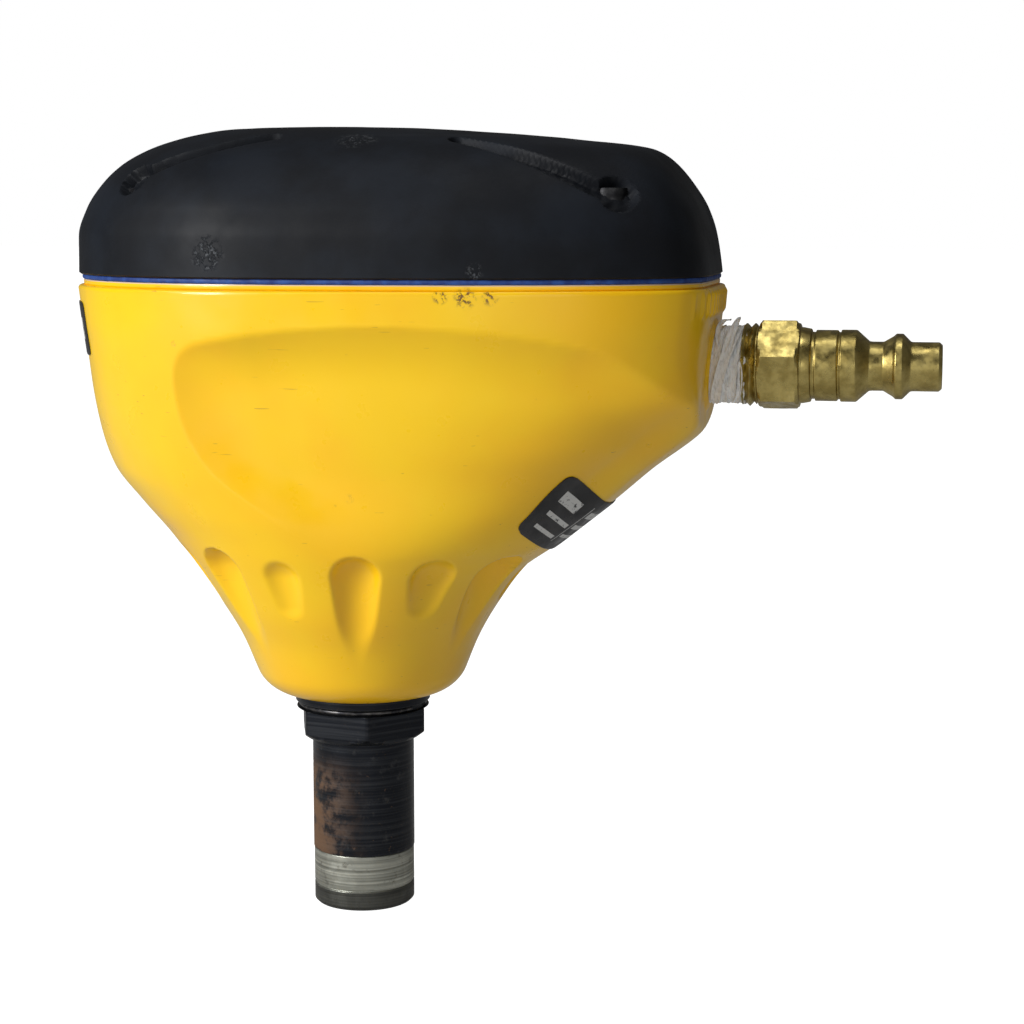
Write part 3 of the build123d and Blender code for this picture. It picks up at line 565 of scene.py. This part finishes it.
def scoop_depth(points):
    """Depth of the two finger scoops, one on each side, at points of the casing."""
    x, z = points[..., 0], points[..., 2]
    roof = 103.3 - 0.0035 * (x - 12) ** 2 - 5.5 * smoothstep(44, 62, x)
    from_roof = roof - z
    from_rear = x + 22.0
    from_corner = 0.578 * (x + 21.5) + 0.817 * (z - 82.5)
    inside = smooth_min(smooth_min(from_rear, from_roof, 5.0), from_corner, 9.0)
    filled = np.clip(inside / SCOOP_EASE, 0, 1)
    depth = SCOOP_DEPTH * (1 - (1 - filled) ** 2.2)
    return depth * smoothstep(62, 80, z) * smoothstep(9, 17, np.abs(points[..., 1]))


def flute_distance(x, y, z, spin, centre_r, centre_z, cutter_r, core):
    """Distance outside the nearest round-ended flute cutter of one kind, negative inside it."""
    pitch = 4 * math.pi / FLUTE_COUNT
    angle = np.arctan2(y, x)
    nearest = spin + np.round((angle - spin) / pitch) * pitch
    radial = x * np.cos(nearest) + y * np.sin(nearest) - centre_r
    side = -x * np.sin(nearest) + y * np.cos(nearest)
    up = z - centre_z
    along = np.clip(radial * math.sin(FLUTE_TILT) + up * math.cos(FLUTE_TILT), -core / 2, core / 2)
    dr, dz = radial - along * math.sin(FLUTE_TILT), up - along * math.cos(FLUTE_TILT)
    return np.sqrt(dr**2 + side**2 + dz**2) - cutter_r


def casing_inside(points_xyz, below_skin):
    """Positive outside the fluted casing, negative inside it."""
    spin = math.radians(LONG_FLUTE_DEG)
    result = below_skin
    for kind, start in ((LONG_FLUTE, spin), (SHORT_FLUTE, spin + 2 * math.pi / FLUTE_COUNT)):
        cut = -flute_distance(*points_xyz, start, *kind)
        blend = np.clip(FLUTE_BLEND - np.abs(result - cut), 0, None) / FLUTE_BLEND
        result = np.maximum(result, cut) + blend**2 * FLUTE_BLEND / 4
    return result


def cut_flutes(radius, z, widest):
    """Sink the flutes into the rows near the neck by marching inward to the fluted surface."""
    rows = (z > FLUTE_RANGE[0]) & (z < FLUTE_RANGE[1])
    skin = radius[rows]
    height = np.broadcast_to(z[rows][:, None], skin.shape)
    middle = widest[rows][:, None]
    found = np.full(skin.shape, np.nan)
    step = 0.2
    previous = None
    for k in range(46):
        at = skin + 0.4 - k * step
        value = casing_inside((middle + at * np.cos(ANGLES), at * np.sin(ANGLES), height), at - skin)
        if previous is not None:
            crossing = np.isnan(found) & (previous > 0) & (value <= 0)
            share = previous / np.maximum(previous - value, 1e-9)
            found = np.where(crossing, at + step - share * step, found)
        previous = value
    radius = radius.copy()
    radius[rows] = np.where(np.isnan(found), skin, found)
    return radius


def casing_radius(z):
    """Polar distance of the casing's skin at each height, with end face, scoops, ribs, pad and flutes."""
    rear, front, half, widest = station(CASING, z)
    columns = [v[:, None] for v in (rear, front, half, widest)]
    radius = outline_radius(ANGLES, *columns)
    points = to_points(radius, z, widest)
    radius = radius - scoop_depth(points)
    end_x = (END_X + (z - INLET_Z) * END_LEAN)[:, None]
    face_y = np.where(np.cos(ANGLES) > 0.3, (end_x - widest[:, None]) * np.tan(ANGLES), 99.0)
    from_inlet = np.hypot(face_y, z[:, None] - INLET_Z)
    pad = 0.5 * smoothstep(7.6, 7.1, from_inlet)
    rib_row = smoothstep(103.6, 104.8, z)[:, None] * smoothstep(108.4, 107.6, z)[:, None]
    rib = 0.6 * rib_row * smoothstep(0.2, 0.8, np.cos(face_y * 2 * math.pi / 3.0)) * (np.abs(face_y) < 20)
    rounding = 1.0 + 3.2 * smoothstep(87, 99, z)[:, None]
    radius = cut_by_end(radius, ANGLES, widest[:, None], end_x + pad + rib, rounding)
    below = np.clip(1 - (z - BASE_Z) / RIM_HEIGHT, 0, 1)
    rim = RIM_INSET * (1 - np.sqrt(1 - below**2))
    radius = radius - rim[:, None]
    return cut_flutes(radius, z, widest), widest


def circle_ring(radius, z):
    """One ring of points round the drive axis."""
    return np.stack([radius * np.cos(ANGLES), radius * np.sin(ANGLES), np.full(COLUMNS, float(z))], axis=-1)


def build_housing():
    """Closed casting: outer skin, lip, reservoir wall and floor, sleeve boss and the stepped bore."""
    z = np.concatenate([
        BASE_Z + RIM_HEIGHT * np.linspace(0, 1, 16) ** 2,
        np.linspace(BASE_Z + RIM_HEIGHT + 0.3, 68, 88, endpoint=False),
        np.linspace(68, 103, 56, endpoint=False),
        np.linspace(103, SHOULDER_Z - 0.45, 15),
    ])
    radius, widest = casing_radius(z)
    skin = to_points(radius, z, widest)
    skin = skin + surface_normals(skin) * (lumps(skin, 14.0, 1) * 0.10)[..., None]
    top, top_widest = radius[-1], widest[-1:]
    rings = list(skin)
    # shoulder, groove at its foot, lip and the way in to the reservoir
    edge = [
        (0.05, -0.30), (0.16, -0.14), (0.34, -0.04), (0.62, -0.0), (0.95, -0.02), (1.08, -0.16),
        (1.16, -0.02), (1.02, 0.12), (0.94, 0.22), (0.92, 0.5), (0.93, 0.76), (0.98, 0.92), (1.14, 1.0),
        (3.0, 1.0), (5.4, 1.0),
        (5.6, 0.8),
    ]
    for inset, rise in edge:
        rings.append(to_points((top - inset)[None], np.array([SHOULDER_Z + rise]), top_widest)[0])
    for level in np.linspace(105, 74, 12):
        inner, middle = casing_radius(np.array([level]))
        rings.append(to_points(inner - 5.6, np.array([level]), middle)[0])
    inner, middle = casing_radius(np.array([74.0]))
    rings.append(to_points(inner - 7.5, np.array([72.0]), middle)[0])
    inside = [
        (19.5, 72), (19.5, 97), (15.6, 97), (15.6, 88), (10.85, 88), (10.85, 80), (10.3, 80), (10.3, 48),
    ]
    inside += [(11.0, 48), (11.0, BASE_Z), (12.0, BASE_Z)]
    rings += [circle_ring(r, level) for r, level in inside]
    faces = ring_faces(len(rings), COLUMNS, True)
    vertices = np.concatenate(rings)
    return make_object(
        "housing_casting", vertices, faces, YELLOW, "housing_body", ("housing",),
    )


housing = build_housing()


# ---- Gasket strip between the casing and the head ------
def build_gasket():
    """Blue sheet gasket that shows as a slightly uneven line."""
    levels = np.array([gasket_low[2], gasket_high[2]])
    top, widest = casing_radius(np.array([SHOULDER_Z - 0.5]))
    outer = top[0] - 0.75 + 0.12 * np.array([noise.noise((a * 9, 0.5, 3.1)) for a in ANGLES])
    profile = [(0.1, 0.05), (0.0, 0.3), (0.0, 0.7), (0.1, 0.95), (4.5, 0.95), (4.5, 0.05)]
    height = levels[1] - levels[0]
    rings = [
        to_points((outer - inset)[None], levels[:1] + share * height, widest)[0] for inset, share in profile
    ]
    faces = ring_faces(len(rings), COLUMNS, True)
    vertices = np.concatenate(rings)
    return make_object(
        "gasket_edge", vertices, faces, GASKET, "housing_body", ("cap_gasket",),
    )


build_gasket()


# ---- Palm grip: moulded dome with screw recesses and curved grooves ------
GRIP_ROWS = 190
GRIP_ROUNDING = 5.5
RECESS_R = 3.3
RECESS_DEPTH = 1.9
RECESSES = [(-31.0, -24.0), (48.2, -23.1)]  # X and Y of the recesses on the -Y side
GROOVE_HALF = 1.5
GROOVE_DEPTH = 2.0
# Plan curves of the grooves on the -Y side, each as start, pull and end.
GROOVES = [
    [(-27.6, -24.3), (-18.5, -24.6), (-8.8, -20.4)],
    [(45.7, -24.0), (37.0, -24.8), (22.0, -19.0)],
]


def grip_surface(rows):
    """Rings up the dome, evenly spaced along its rear profile, before grooves and recesses."""
    heights = np.array([row[0] for row in GRIP])
    rears = np.array([row[1] for row in GRIP])
    fine = np.linspace(heights[0], heights[-1], 4001)
    reach = monotone(heights, rears, fine)
    length = np.concatenate([[0], np.cumsum(np.hypot(np.diff(fine), np.diff(reach)))])
    z = np.interp(np.linspace(0, length[-1], rows), length, fine)
    rear, front, half, widest = station(GRIP, z)
    radius = outline_radius(ANGLES, *[v[:, None] for v in (rear, front, half, widest)])
    end = monotone([row[0] for row in GRIP_END], [row[1] for row in GRIP_END], z)
    radius = cut_by_end(radius, ANGLES, widest[:, None], end[:, None], GRIP_ROUNDING)
    return radius, z, widest


def groove_path(plan, points, side):
    """Points of a groove's middle line, lifted to the dome's surface."""
    start, pull, end = (np.array(p) * (1, side) for p in plan)
    t = np.linspace(0, 1, 60)[:, None]
    line = (1 - t) ** 2 * start + 2 * t * (1 - t) * pull + t**2 * end
    flat = points.reshape(-1, 3)
    nearest = [np.argmin(((flat[:, :2] - p) ** 2).sum(axis=1)) for p in line]
    lift = np.convolve(np.pad(flat[nearest, 2], 4, mode="edge"), np.ones(9) / 9, mode="valid")
    return np.column_stack([line, lift])


def distance_to(path, points):
    """Distance from each point to the nearest point of a dense path."""
    best = np.full(points.shape[:-1], 1e6)
    for p in path:
        best = np.minimum(best, ((points - p) ** 2).sum(axis=-1))
    return np.sqrt(best)


def build_grip():
    """Closed rubber shell. The recesses and grooves are sunk into its skin along the surface normal."""
    radius, z, widest = grip_surface(GRIP_ROWS)
    skin = to_points(radius, z, widest)
    normal = surface_normals(skin)
    sunk = np.zeros(skin.shape[:-1])
    for side in (1, -1):
        for plan in GROOVES:
            away = distance_to(groove_path(plan, skin, side), skin)
            groove = GROOVE_DEPTH * smoothstep(GROOVE_HALF + 0.3, GROOVE_HALF - 0.35, away)
            lip = -0.22 * smoothstep(1.4, 0.0, np.abs(away - GROOVE_HALF - 1.0))
            sunk = np.where(groove > sunk, groove, sunk) + np.where(groove < 0.02, lip, 0)
        for x, y in RECESSES:
            flat = skin.reshape(-1, 3)
            centre = flat[np.argmin(np.hypot(flat[:, 0] - x, flat[:, 1] - y * side))]
            away = np.linalg.norm(skin - centre, axis=-1)
            recess = RECESS_DEPTH * smoothstep(RECESS_R + 0.15, RECESS_R - 0.45, away)
            sunk = np.maximum(sunk, recess)
    rough = lumps(skin, 0.9, 4) * 0.22 * smoothstep(0.8, 1.4, sunk) + lumps(skin, 6.0, 2) * 0.06
    skin = skin - normal * (sunk + rough)[..., None]
    skin[..., 2] = np.clip(skin[..., 2], GRIP_BASE_Z, GRIP_TOP_Z)
    # rounded lower edge
    skin[0] = to_points((radius[0] - 0.35)[None], z[:1], widest[:1])[0]
    rings = list(skin)
    for share in (0.75, 0.5, 0.25, 0.1):
        rings.append(to_points((radius[-1] * share)[None], z[-1:], widest[-1:])[0])
    inner_radius, inner_z, inner_widest = grip_surface(26)
    inner = to_points(inner_radius - 3.4, np.maximum(inner_z - 3.2, GRIP_BASE_Z), inner_widest)[:-2]
    rows_outer = len(rings)
    outer = np.concatenate(rings)
    inner = inner.reshape(-1, 3)
    count = len(outer)
    faces = ring_faces(rows_outer, COLUMNS, False)
    inner_rows = len(inner) // COLUMNS
    faces += [tuple(int(v) + count for v in face[::-1]) for face in ring_faces(inner_rows, COLUMNS, False)]
    for j in range(COLUMNS):
        k = (j + 1) % COLUMNS
        faces.append((k, j, j + count, k + count))
        last = (rows_outer - 1) * COLUMNS
        faces.append((last + j, last + k, count + len(inner)))
        ceiling = count + (inner_rows - 1) * COLUMNS
        faces.append((ceiling + k, ceiling + j, count + len(inner) + 1))
    apex = [rings[-1].mean(axis=0), inner[-COLUMNS:].mean(axis=0)]
    vertices = np.concatenate([outer, inner, apex])
    return make_object(
        "grip_moulding", vertices, faces, RUBBER, "housing_body", ("palm_grip",),
    )


build_grip()


# ---- Nose: barrel, shoe and collar; the snap ring stays a CAD part ------
TUBE_R = 8.9
TUBE_BORE_R = 6.3
TIP_R = tip_high[0]
TIP_TOP_Z = tip_high[2]
FLANGE_R = tube_high[0]
FLANGE_BASE_Z = 50.0
COLLAR_R = 11.8  # over the hexagon's turned corners
COLLAR_AF = 20.6
HEX_CORNER_DEG = -71.4  # how far the collar was screwed round
COLLAR_GROOVE_Z = (35.2, 36.3)
SHANK_R = 10.9


def turning_marks(radius, height, angles):
    """Shallow turned rings and a few rust pits on the barrel's outside."""
    outside = smoothstep(TUBE_R - 0.3, TUBE_R - 0.05, radius)
    rings = 0.035 * np.sin(height * 5.1) * np.sin(height * 1.7 + 0.6) * smoothstep(20, 25, height)
    place = np.stack([radius * np.cos(angles), radius * np.sin(angles), height], axis=-1)
    pits = -0.05 * np.clip(lumps(place, 1.3, 7) - 0.35, 0, None)
    return radius + outside * np.minimum(rings + pits, 0), height


def build_barrel():
    profile = [
        (TUBE_BORE_R, 6.4), (7.38, 6.4), (7.38, TIP_TOP_Z), (TUBE_R, TIP_TOP_Z), (TUBE_R, FLANGE_BASE_Z),
        (FLANGE_R, FLANGE_BASE_Z), (FLANGE_R, tube_high[2]), (TUBE_BORE_R + 0.4, tube_high[2]),
    ]
    points = eased(profile, 0.18)
    dense = []
    for i, p in enumerate(points):
        q = points[(i + 1) % len(points)]
        pieces = max(1, int(abs(q[1] - p[1]) / 0.25)) if min(p[0], q[0]) > TUBE_R - 0.3 else 1
        dense += [p + (q - p) * k / pieces for k in range(pieces)]
    turned(
        "nose_barrel", np.array(dense), OXIDE_TUBE, "nose", ("nose_tube",),
        shape=turning_marks,
    )


def build_shoe():
    profile = [
        (6.2, 0), (TIP_R - 0.5, 0), (TIP_R, 0.5), (TIP_R, 3.35), (TIP_R - 0.22, 3.45), (TIP_R - 0.22, 3.65),
        (TIP_R, 3.75), (TIP_R, TIP_TOP_Z - 0.15), (TIP_R - 0.15, TIP_TOP_Z), (7.4, TIP_TOP_Z), (7.4, 3.4),
        (6.2, 3.4),
    ]
    turned("nose_shoe", eased(profile, 0.12), NOSE_STEEL, "nose", ("nose_tip",))


def hex_part(radius, height, angles):
    """The collar is hexagonal below its groove, with turned corners."""
    sector = math.pi / 3
    local = (angles - math.radians(HEX_CORNER_DEG)) % sector - sector / 2
    flat = COLLAR_AF / 2 / np.cos(local)
    is_hex = (height < COLLAR_GROOVE_Z[0] - 0.01) & (radius > TUBE_R + 0.3)
    return np.where(is_hex, np.minimum(radius, flat), radius), height


def build_collar():
    low, top = collar_low[2], collar_high[2]
    profile = [
        (TUBE_R + 0.06, low), (9.9, low), (COLLAR_R, low + 1.4), (COLLAR_R, COLLAR_GROOVE_Z[0]),
        (COLLAR_R - 1.0, COLLAR_GROOVE_Z[0]), (COLLAR_R - 1.0, COLLAR_GROOVE_Z[1]),
        (COLLAR_R, COLLAR_GROOVE_Z[1]), (COLLAR_R, BASE_Z), (SHANK_R, BASE_Z), (SHANK_R, top),
        (TUBE_R + 0.06, top),
    ]
    turned("collar_nut", eased(profile, 0.22), OXIDE_COLLAR, "housing_body", ("nose_collar",),
           shape=hex_part, segments=180)


build_barrel()
build_shoe()
build_collar()


# ---- Air plug ------
PLUG_TURN_DEG = 46.6  # how far the plug's hexagon was screwed round
PLUG_HEX_X = (68.9, 75.6)
PLUG_HEX_AF = 13.6
PLUG_CORNER_R = 7.82
THREAD_PITCH = 1.411
THREAD_X = (66.2, 68.5)
PASSAGE_R = 2.7


def plug_shape(radius, height, angles):
    """Hexagon flats with dents, and the helical ridges of the pipe thread."""
    sector = math.pi / 3
    local = (angles - math.radians(PLUG_TURN_DEG)) % sector - sector / 2
    place = np.stack([height, radius * np.cos(angles), radius * np.sin(angles)], -1)
    dents = 0.10 * np.clip(lumps(place, 2.2, 5), 0, 1)
    flat = PLUG_HEX_AF / 2 / np.cos(local) - dents
    on_hex = (height > PLUG_HEX_X[0] - 0.05) & (height < PLUG_HEX_X[1] + 0.05) & (radius > 6.5)
    on_thread = (height > THREAD_X[0]) & (height < THREAD_X[1]) & (radius > 5.5)
    phase = (height / THREAD_PITCH + angles / (2 * math.pi)) % 1
    ridge = 6.1 + 0.82 * (1 - np.abs(2 * phase - 1)) ** 0.8
    result = np.where(on_hex, np.minimum(radius, flat), radius)
    return np.where(on_thread, ridge, result), height


def build_plug():
    outside = [
        (plug_low[0], PASSAGE_R), (plug_low[0], 5.5), (62.0, 5.85), (66.1, 6.0), (66.3, 6.3), (68.5, 6.3),
        (68.7, 6.3), (68.9, 6.9),
        (69.5, PLUG_CORNER_R), (75.0, PLUG_CORNER_R), (75.6, 6.85), (75.7, 6.3), (76.1, 6.3), (77.4, 6.05),
        (77.5, 5.55), (78.1, 5.55), (78.15, 5.88), (81.7, 5.88), (81.9, 5.55), (82.2, 5.55), (82.3, 5.95),
        (84.8, 5.95), (85.1, 5.7), (86.9, 4.1), (87.4, 4.05), (89.2, 4.05), (90.8, 5.0), (91.2, 5.4),
        (92.3, 5.4), (92.7, 5.0), (93.6, 4.1), (94.0, 4.05), (98.2, 4.05), (plug_high[0], 3.6),
        (plug_high[0], 3.0), (plug_high[0] - 0.5, PASSAGE_R),
    ]
    # the profile runs anticlockwise as (radius, height) seen along the turning axis
    profile = eased([(r, x) for x, r in outside], 0.14)
    dense = []
    for i, p in enumerate(profile):
        q = profile[(i + 1) % len(profile)]
        threaded = (
            min(p[1], q[1]) >= THREAD_X[0] - 0.6 and max(p[1], q[1]) <= PLUG_HEX_X[1] + 0.2 and p[0] > 5
        )
        pieces = max(1, int(abs(q[1] - p[1]) / (0.09 if p[1] < PLUG_HEX_X[0] else 0.4))) if threaded else 1
        dense += [p + (q - p) * k / pieces for k in range(pieces)]
    turned("air_plug_body", np.array(dense), BRASS, "housing_body", ("air_plug",),
           along_x=True, segments=180, shape=plug_shape, turn=math.radians(PLUG_TURN_DEG))


build_plug()


# ---- Sealing tape: overlapping wraps and frayed ends ------
TAPE_START_X = 58.0
TAPE_END_X = 66.7


def tape_radius(x, angle):
    """Outside of the wound tape: stepped wraps, folds and a rolled edge."""
    wraps = (x / 1.55 + angle / (2 * math.pi) + 0.15 * np.sin(angle * 2)) % 1
    fold = 0.16 * np.array([noise.noise((a * 2.4, b * 1.9, 7.7)) for a, b in zip(angle.ravel(), x.ravel())])
    crease = 0.10 * np.array([
        noise.noise((a * 9.0, b * 4.5, 2.2)) for a, b in zip(angle.ravel(), x.ravel())
    ])
    return 6.2 + (x - 60) / 40 + 0.26 * wraps + (fold + crease).reshape(x.shape)


def build_tape():
    """Closed sleeve of wraps between a slanting inner edge and a ragged outer edge."""
    columns, rows = 200, 90
    angle = np.broadcast_to(np.arange(columns) * 2 * math.pi / columns, (rows, columns))
    share = np.linspace(0, 1, rows)[:, None]
    ragged = np.array([
        0.35 * noise.noise((math.cos(a) * 2.6, math.sin(a) * 2.6, 1.1))
        + 0.16 * noise.noise((math.cos(a) * 9, math.sin(a) * 9, 4.4)) for a in angle[0]
    ])
    x = TAPE_START_X + (TAPE_END_X + ragged * 1.5 - TAPE_START_X) * share
    radius = tape_radius(x, angle)
    radius = np.minimum(radius, 5.9 + (TAPE_END_X + ragged * 1.5 - x) * 3.2 + 0.35)
    outer = np.stack([x, radius * np.cos(angle), INLET_Z + radius * np.sin(angle)], axis=-1)
    inner = np.stack([x, 5.6 * np.cos(angle), INLET_Z + 5.6 * np.sin(angle)], axis=-1)[::-1]
    rings = np.concatenate([outer, inner])[::-1]
    faces = ring_faces(2 * rows, columns, True)
    faces = [face[::-1] for face in faces]
    make_object(
        "tape_wraps", rings.reshape(-1, 3), faces, TAPE, "housing_body", ("thread_tape",),
    )


def ribbon(name, line, width, thickness):
    """A thin strip along a line of (x, angle in degrees, lift) points on the tape, with curled edges."""
    line = np.array(line, float)
    t = np.linspace(0, len(line) - 1, 28)
    x, angle, lift = (np.interp(t, range(len(line)), line[:, i]) for i in range(3))
    smooth = np.ones(5) / 5
    x, angle, lift = (np.convolve(np.pad(v, 2, mode="edge"), smooth, mode="valid") for v in (x, angle, lift))
    across = np.linspace(-1, 1, 7)
    taper = np.clip(1.15 - np.abs(np.linspace(-1, 1, 28)) ** 4, 0.2, 1)[:, None]
    radius = 6.62 + lift[:, None] + 0.14 * across**2 + 0.05 * np.sin(t * 2.7)[:, None] * across
    turn = np.radians(angle)[:, None]
    along = x[:, None] + across * width / 2 * taper

    def grid(r):
        return np.stack([along, r * np.cos(turn), INLET_Z + r * np.sin(turn)], axis=-1)

    closed_sheet(name, grid(radius), grid(radius - thickness), TAPE, "housing_body")


build_tape()
ribbon(
    "tape_overlap",
    [(61.6, 262, 0.0), (62.2, 215, 0.1), (63.4, 175, 0.22), (64.9, 140, 0.25), (65.9, 105, 0.1)],
    1.7, 0.16,
)
ribbon(
    "tape_strand_1",
    [(63.2, 168, 0.1), (64.1, 140, 0.35), (64.9, 118, 0.8), (65.7, 100, 1.5)],
    0.9, 0.14,
)
ribbon(
    "tape_strand_2",
    [(64.6, 160, 0.1), (64.9, 135, 0.5), (65.4, 120, 1.1), (65.3, 108, 1.7)],
    0.6, 0.13,
)
ribbon(
    "tape_strand_3",
    [(62.4, 150, 0.0), (62.2, 120, 0.3), (62.9, 95, 0.7), (63.9, 80, 0.8)],
    0.8, 0.14,
)
ribbon(
    "tape_strand_4",
    [(64.9, 250, 0.0), (65.9, 222, 0.2), (66.3, 195, 0.15), (66.1, 170, 0.3)],
    0.8, 0.14,
)


# ---- Stickers that follow the casing ------
def casing_tree():
    mesh = housing.data
    points = [v.co / MM for v in mesh.vertices]
    return BVHTree.FromPolygons(points, [tuple(p.vertices) for p in mesh.polygons])


def sticker(name, tree, centre, right, up, size, corner, bars, replaced):
    """A thin patch laid on the casing by rays from a plane outside it."""
    centre, right, up = Vector(centre), Vector(right).normalized(), Vector(up).normalized()
    inward = -right.cross(up).normalized()
    columns, rows = int(size[0] * 2.2), int(size[1] * 3)
    top, bottom, uv = [], [], []
    for i in range(rows + 1):
        v = (i / rows - 0.5) * size[1]
        past = max(abs(v) - (size[1] / 2 - corner), 0)
        half = size[0] / 2 - corner + math.sqrt(max(corner**2 - past**2, 0))
        for j in range(columns + 1):
            u = (j / columns * 2 - 1) * half
            start = centre + right * u + up * v
            place, normal, *_ = tree.ray_cast(start, inward)
            edge = max(abs(j / columns * 2 - 1), abs(i / rows * 2 - 1))
            lift = 0.26 if edge < 0.999 else 0.20
            top.append(place + normal * lift)
            bottom.append(place - normal * 0.05)
            uv.append((u / size[0] + 0.5, v / size[1] + 0.5))
    shape = (rows + 1, columns + 1)
    top, bottom = (np.array(points).reshape(*shape, 3) for points in (top, bottom))
    film = printed_film(name + "_film", bars)
    closed_sheet(name, top, bottom, film, "housing_body", replaced, np.array(uv).reshape(*shape, 2))


LABEL_BARS = [
    (0.05, 0.16, 0.62, 0.80), (0.05, 0.20, 0.40, 0.47), (0.24, 0.62, 0.66, 0.78), (0.24, 0.56, 0.44, 0.52),
    (0.24, 0.66, 0.26, 0.32), (0.70, 0.92, 0.30, 0.72), (0.05, 0.20, 0.18, 0.24), (0.22, 0.225, 0.15, 0.85),
]
END_BARS = [
    (0.06, 0.40, 0.40, 0.66), (0.46, 0.80, 0.52, 0.64), (0.46, 0.72, 0.32, 0.40), (0.84, 0.94, 0.30, 0.70),
]
tree = casing_tree()
sticker(
    "rating_sticker",
    tree,
    (58.3, 0, 46.5),
    (-0.066, 0.996, -0.058),
    (0.747, 0.088, 0.657),
    (40, 13),
    1.5,
    LABEL_BARS,
    ("rating_label",),
)
sticker(
    "end_sticker",
    tree,
    (-60, 0, 101.5),
    (0, -1, 0),
    (0, 0, 1),
    (36, 9),
    1.0,
    END_BARS,
    ("end_label",),
)


# ---- Finishes of the CAD parts that stay ------
def dress(material, *nodes):
    """Give CAD nodes a finished material."""
    for node in nodes:
        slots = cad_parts[node].material_slots
        for slot in slots:
            slot.material = material


dress(plain_part("cast_aluminium", (0.20, 0.20, 0.21), (0.42, 0.42, 0.43), 0.5, 0.9, 0.8, 0.06), "head_cap")
dress(
    plain_part("honed_aluminium", (0.42, 0.42, 0.44), (0.66, 0.66, 0.68), 0.26, 1.0, 0.4, 0.01),
    "cylinder_sleeve",
)
dress(plain_part("ground_steel", (0.36, 0.36, 0.37), (0.60, 0.60, 0.61), 0.24, 1.0, 0.35, 0.01),
      "piston", "driver", "rod_bushing", "valve_seat", "spring_seat", "nose_spring", "cap_washers")
dress(
    plain_part("screw_black", (0.014, 0.014, 0.016), (0.05, 0.05, 0.052), 0.42, 0.8, 0.4, 0.02),
    "cap_screws",
)
dress(
    plain_part("ring_wire", (0.05, 0.05, 0.055), (0.16, 0.155, 0.15), 0.36, 0.9, 0.3, 0.02),
    "collar_snap_ring",
)
dress(plain_part("nitrile", (0.010, 0.010, 0.011), (0.028, 0.028, 0.03), 0.55, 0.0, 0.3, 0.02),
      "sleeve_seals", "rod_seal", "valve_cushion", "piston_ring")
dress(
    plain_part("urethane", (0.42, 0.27, 0.06), (0.60, 0.43, 0.14), 0.38, 0.0, 0.7, 0.03),
    "bumper", "nose_stop_washer",
)
dress(
    plain_part("acetal", (0.025, 0.025, 0.027), (0.055, 0.055, 0.06), 0.4, 0.0, 0.4, 0.02),
    "valve_cover", "valve_disc",
)
dress(
    plain_part("ferrite", (0.035, 0.034, 0.036), (0.085, 0.083, 0.085), 0.6, 0.3, 0.3, 0.04), "nose_magnet",
)


# ---- Floor, light and camera ------
def build_floor():
    mesh = bpy.data.meshes.new("floor")
    side = 6.0
    drop = -0.0002  # just under the nose
    corners = [(-side, -side, drop), (side, -side, drop), (side, side, drop), (-side, side, drop)]
    mesh.from_pydata(corners, [], [(0, 1, 2, 3)])
    m = Material("pale_floor", roughness=0.8)
    m.colour(m.mix(m.noise(60, 3), (0.40, 0.40, 0.40), (0.42, 0.42, 0.42)))
    m.shader.inputs["Emission Color"].default_value = (1, 1, 1, 1)
    path = m.nodes.new("ShaderNodeLightPath").outputs["Is Camera Ray"]
    m.links.new(m.range(path, 0.0, 1.0, 0.12, 1.05), m.shader.inputs["Emission Strength"])
    mesh.materials.append(m.material)
    floor = bpy.data.objects.new("floor", mesh)
    bpy.context.scene.collection.objects.link(floor)


def softbox(name, place, target, size, power, colour=(1, 1, 1)):
    light = bpy.data.lights.new(name, "AREA")
    light.shape = "RECTANGLE"
    light.size, light.size_y = size
    light.energy = power
    light.color = colour
    lamp = bpy.data.objects.new(name, light)
    lamp.location = place
    lamp.rotation_euler = (Vector(target) - Vector(place)).to_track_quat("-Z", "Y").to_euler()
    bpy.context.scene.collection.objects.link(lamp)


def build_world():
    """White to the camera, dimmer as a light source so that dark parts stay dark."""
    world = bpy.data.worlds.new("studio")
    world.use_nodes = True
    tree_nodes, links = world.node_tree.nodes, world.node_tree.links
    background = tree_nodes["Background"]
    background.inputs["Color"].default_value = (1, 1, 1, 1)
    path = tree_nodes.new("ShaderNodeLightPath")
    strength = tree_nodes.new("ShaderNodeMapRange")
    strength.inputs["To Min"].default_value = 0.10
    strength.inputs["To Max"].default_value = 1.0
    links.new(path.outputs["Is Camera Ray"], strength.inputs["Value"])
    links.new(strength.outputs["Result"], background.inputs["Strength"])
    bpy.context.scene.world = world


def build_camera():
    """79 mm lens, 11.5 degrees round towards the plug and 7.8 degrees down."""
    data = bpy.data.cameras.new("camera")
    data.lens = 79.1
    data.sensor_width = 36.0
    data.clip_end = 20
    camera = bpy.data.objects.new("camera", data)
    camera.location = (0.10306, -0.37510, 0.12205)
    turn, pitch = math.radians(11.5), math.radians(7.76)
    forward = Vector((-math.sin(turn) * math.cos(pitch), math.cos(turn) * math.cos(pitch), -math.sin(pitch)))
    camera.rotation_euler = forward.to_track_quat("-Z", "Y").to_euler()
    bpy.context.scene.collection.objects.link(camera)
    bpy.context.scene.camera = camera


build_floor()
build_world()
build_camera()
middle = (0.01, 0, 0.09)
softbox("key", (-0.55, -0.65, 0.45), middle, (0.30, 0.55), 9.0)
softbox("top", (0.05, -0.10, 0.80), middle, (0.35, 0.25), 0.8)
softbox("front_fill", (0.35, -0.9, 0.15), middle, (0.5, 0.4), 0.8)
bpy.context.scene.view_settings.view_transform = "Standard"
